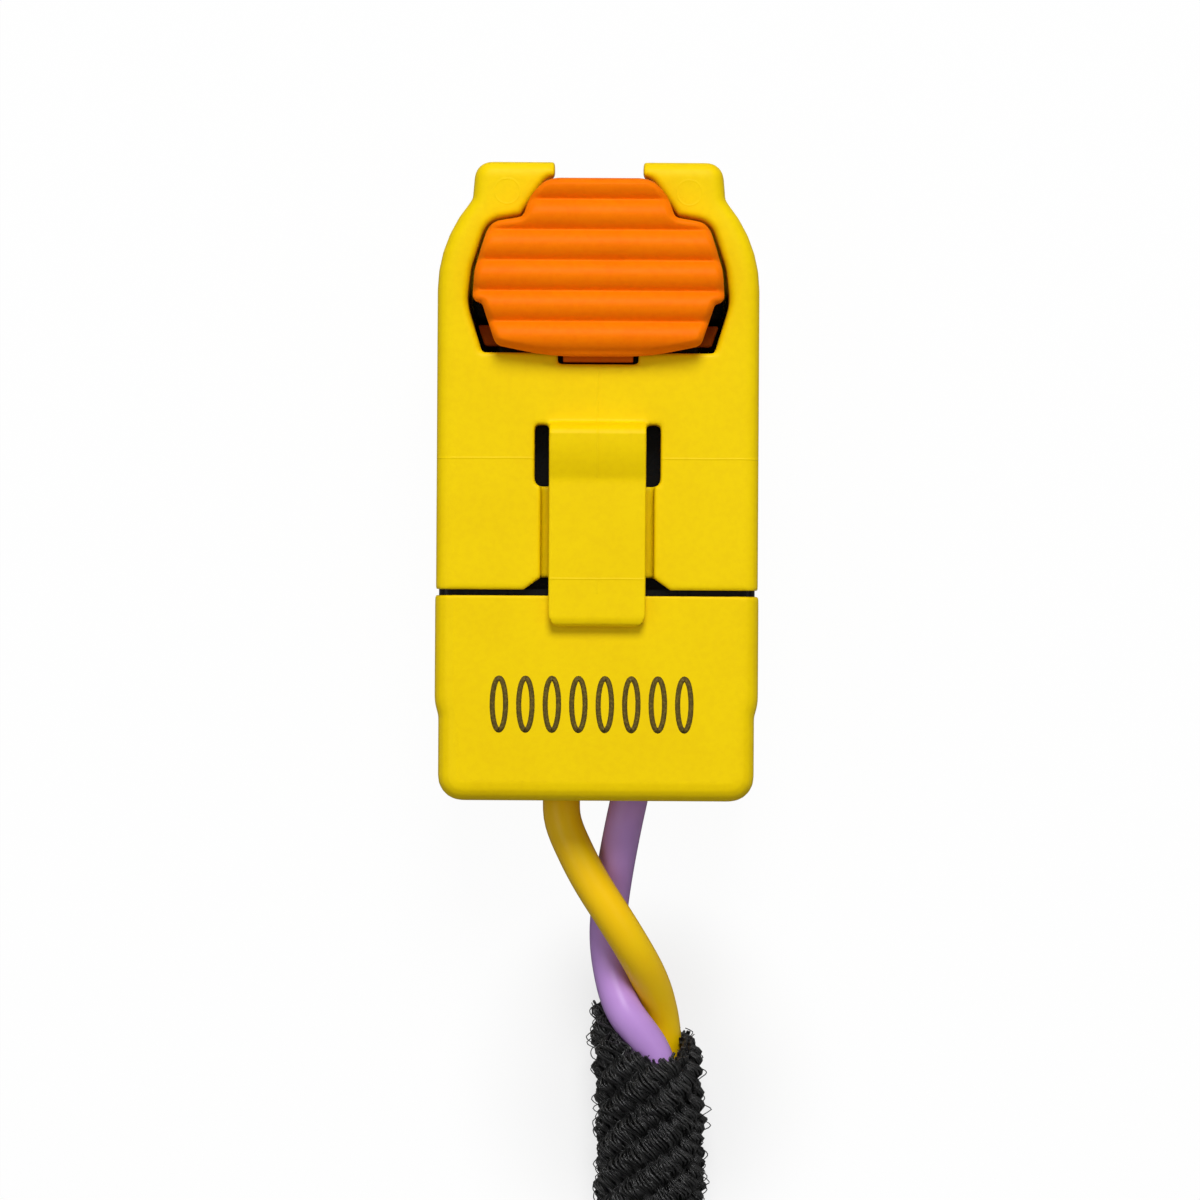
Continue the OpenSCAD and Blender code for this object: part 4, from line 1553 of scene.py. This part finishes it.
@dataclass
class Plug:
    """The shells, the lock and what sits inside them."""

    body: str = "plug"
    cap_top: float = 11.3
    marks: int = 8
    mark_pitch: float = 1.326
    mark_h: float = 2.87
    mark_w: float = 0.93
    mark_line: float = 0.13
    mark_x: float = -0.23
    mark_y: float = -11.16
    seam: tuple[float, float] = (-5.74, -5.4)
    collar_half: float = 7.93
    collar_z: tuple[float, float] = (0.32, 10.98)

    def moulded(
        self, node: str, name: str, body: str, finish: Finish, edges: SoftEdges, shape: Callable = Fit()
    ) -> None:
        """Makes a moulded piece from a CAD node.

        Args:
            node: The CAD node.
            name: The piece's name.
            body: The body that it rides on.
            finish: Its finish.
            edges: Its small fillets.
            shape: Moves its points.
        """
        piece = placed(name, edges.thinned(edges.made(node, shape)), finish, body)
        weighted(piece)
        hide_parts(node)

    def collar(self) -> None:
        """The black sealing collar that shows in the seam between the housing and the cap."""
        (low, high), half = self.collar_z, self.collar_half
        hoop = Hoop((-half, low), (half, high), 0.6, (0.6, 0.4), 6)
        placed("seam_collar", hoop.mesh("seam_collar", *self.seam, 1), Finish.BODY, self.body)

    def trimmed(self, node: str, name: str, finish: Finish, edge: float) -> None:
        """Makes a small piece from a CAD node, with broken edges.

        Args:
            node: The CAD node.
            name: The piece's name.
            finish: Its finish.
            edge: The width of its broken edges, in millimetres.
        """
        helper = linked("helper", merged_copy(node))
        thin = helper.modifiers.new("flat", "DECIMATE")
        thin.decimate_type, thin.angle_limit = "DISSOLVE", math.radians(1)
        bevel = helper.modifiers.new("edges", "BEVEL")
        bevel.width, bevel.segments, bevel.angle_limit = edge, 2, math.radians(35)
        piece = placed(name, in_metres(evaluated_mesh(helper)), finish, self.body)
        weighted(piece)
        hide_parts(node)

    def laser_marks(self) -> None:
        """A row of plain ovals on the cap."""
        g = Growth("laser_marks")
        count, gap = g.size("Marks", self.marks), g.size("Pitch", self.mark_pitch)
        first = (self.mark_x - self.mark_pitch * (self.marks - 1) / 2, self.mark_y, self.cap_top)
        inputs = {"Count": count, "Start Location": first, "Offset": g.vector(gap, 0.0, 0.0)}
        row = g.node("GeometryNodeMeshLine", {"mode": "OFFSET"}, inputs)[0]
        oval = g.node("GeometryNodeCurvePrimitiveCircle", None, {"Resolution": 40, "Radius": 1.0})[0]
        wide = g.size("Width", self.mark_w) * 0.5 - self.mark_line
        high = g.size("Height", self.mark_h) * 0.5 - self.mark_line
        inputs = {"Geometry": oval, "Scale": g.vector(wide, high, 1.0)}
        oval = g.node("GeometryNodeTransform", None, inputs)[0]
        inputs = {"Width": self.mark_line * 2, "Height": 0.02}
        line = g.node("GeometryNodeCurvePrimitiveQuadrilateral", None, inputs)[0]
        ring = g.node("GeometryNodeCurveToMesh", None, {"Curve": oval, "Profile Curve": line})[0]
        marks = g.node("GeometryNodeInstanceOnPoints", None, {"Points": row, "Instance": ring})[0]
        mesh = g.grown(marks, bpy.data.meshes.new("start"), Finish.MARK)
        placed("cap_marks", mesh, Finish.MARK, self.body)

    def build(self) -> None:
        """Makes every piece of the plug."""
        self.moulded("outer_housing", "housing_shell", self.body, Finish.SHELL, SoftEdges(), ShellShape())
        cap = Fit(across=((0, 0), (8.05, 8.125)))
        self.moulded("rear_cap", "rear_cap_shell", self.body, Finish.SHELL, SoftEdges(), cap)
        self.moulded("lock_slide", "push_lock", "lock", Finish.LOCK, SoftEdges(0.08, 8, 60000), LockShape())
        self.collar()
        self.moulded("inner_housing", "inner_body", self.body, Finish.BODY, SoftEdges(0.12, 4, 30000))
        self.moulded("front_retainer", "pin_retainer", "retainer", Finish.BODY, SoftEdges(0.08, 4, 20000))
        for side in ("left", "right"):
            self.trimmed(f"contact_{side}", f"terminal_{side}", Finish.BRASS, 0.04)
            self.trimmed(f"contact_spring_{side}", f"terminal_spring_{side}", Finish.STEEL, 0.03)
            self.trimmed(f"conductor_{side}", f"core_{side}", Finish.COPPER, 0.04)
        self.trimmed("shorting_clip", "shorting_spring", Finish.STEEL, 0.03)
        self.trimmed("ferrite_core", "ferrite_block", Finish.FERRITE, 0.12)
        self.trimmed("yellow_wire_end", "yellow_inner_run", Finish.YELLOW, 0.05)
        self.trimmed("violet_wire_end", "violet_inner_run", Finish.VIOLET, 0.05)
        self.laser_marks()


# ---------------------------------------------------------------- studio


@dataclass(frozen=True)
class Lamp:
    """One soft lamp that points at the plug."""

    name: str
    place: tuple[float, float, float]
    size: float
    power: float


@dataclass
class Studio:
    """The floor, the lamps and the camera, in metres."""

    target: tuple[float, float, float] = (0.0, -0.006, 0.0)
    middle: tuple[float, float] = (0.00016, -0.005925)
    height: float = 0.25
    face: float = 0.0116
    field_w: float = 0.06
    roll: float = 0.334
    sky: float = 0.28
    shade: tuple[float, float] = (0.04, 0.3)
    shade_from: tuple[float, float] = (0.037, 0.1)
    # Painted shadow pool beside the sleeve's mouth: its centre, and where it fades.
    painted_shadow_pool: tuple[float, float] = (0.0026, -0.0316)
    painted_shadow_pool_r: tuple[float, float] = (0.004, 0.011)
    bounce: float = 0.28
    lamps: tuple[Lamp, ...] = (
        Lamp("key", (0.02, 0.34, 0.42), 0.24, 2.15),
        Lamp("left", (-0.34, -0.02, 0.44), 0.3, 0.3),
        Lamp("right", (0.34, 0.0, 0.44), 0.3, 0.14),
    )

    def camera(self) -> None:
        """Looks straight down on the plug."""
        data = bpy.data.cameras.new("camera")
        data.sensor_width = 36.0
        data.lens = data.sensor_width * self.height / self.field_w
        data.clip_start, data.clip_end = 0.01, 10.0
        camera = linked("camera", data)
        camera.location = (*self.middle, self.face + self.height)
        camera.rotation_euler = (0.0, 0.0, math.radians(self.roll))
        bpy.context.scene.camera = camera

    def floor(self) -> None:
        """A wide pale floor that keeps the plug's shadow, greyed by painted shade away from the plug and in a
        painted shadow pool beside the sleeve's mouth.
        """
        mesh = bpy.data.meshes.new("floor")
        mesh.from_pydata([(-2, -2, 0), (2, -2, 0), (2, 2, 0), (-2, 2, 0)], [], [(0, 1, 2, 3)])
        s = Shader("paper")
        light = s.node("ShaderNodeLightPath")
        seen = light["Is Camera Ray"].apply("MAXIMUM", light["Is Transmission Ray"])
        cloud = s.mix(s.noise(s.place(), 40.0, 2) * 0.2, (0.92, 0.92, 0.92), (0.9, 0.9, 0.9))
        inputs = {"Base Color": s.mix(seen, (self.bounce,) * 3, cloud), "Roughness": 0.9}
        paper = s.node("ShaderNodeBsdfPrincipled", None, inputs)[0]
        x, y, _ = s.axes(s.node("ShaderNodeTexCoord")["Object"])
        # Painted shade: more lit paper shows, greyer and with the real shadows, away from the plug and in a
        # painted shadow pool beside the sleeve's mouth.
        far, painted_shadow_pool = (
            (((x - cx) ** 2.0 + (y - cy) ** 2.0) ** 0.5).band(*reach)
            for (cx, cy), reach in ((self.middle, self.shade_from), (self.painted_shadow_pool, self.painted_shadow_pool_r))
        )
        shade = far.apply("MAXIMUM", 1 - painted_shadow_pool) * (self.shade[1] - self.shade[0]) + self.shade[0]
        white = s.node("ShaderNodeEmission", None, {"Color": (1.0, 1.0, 1.0), "Strength": 1.0})[0]
        both = s.node("ShaderNodeMixShader", None, {0: seen * (1 - shade), 1: paper, 2: white})[0]
        s.node("ShaderNodeOutputMaterial", None, {"Surface": both})
        mesh.materials.append(s.material)
        linked("floor", mesh)

    def light(self) -> None:
        """Plain soft lamps and a pale sky."""
        world = bpy.data.worlds.new("sky")
        world.use_nodes = True
        bpy.context.scene.world = world
        s = Graph(world.node_tree)
        light = s.node("ShaderNodeLightPath")
        seen = light["Is Camera Ray"].apply("MAXIMUM", light["Is Transmission Ray"])
        inputs = {"Color": (1.0, 1.0, 1.0), "Strength": seen * (1 - self.sky) + self.sky}
        back = s.node("ShaderNodeBackground", None, inputs)[0]
        s.node("ShaderNodeOutputWorld", None, {"Surface": back})
        for lamp in self.lamps:
            data = bpy.data.lights.new(lamp.name, "AREA")
            data.shape, data.size, data.energy = "DISK", lamp.size, lamp.power
            made = linked(lamp.name, data)
            made.location = lamp.place
            away = Vector(lamp.place) - Vector(self.target)
            made.rotation_euler = away.to_track_quat("Z", "Y").to_euler()

    def look(self) -> None:
        """Plain colour management."""
        bpy.context.scene.view_settings.view_transform = "Standard"


def main() -> None:
    """Builds the scene: the camera and the cords first, then the plug, the floor and the light."""
    logging.basicConfig(level=logging.INFO, format="%(message)s")
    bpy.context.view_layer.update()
    studio = Studio()
    studio.camera()
    Pigtail().build()
    Plug().build()
    studio.floor()
    studio.light()
    studio.look()


if __name__ == "__main__":
    main()
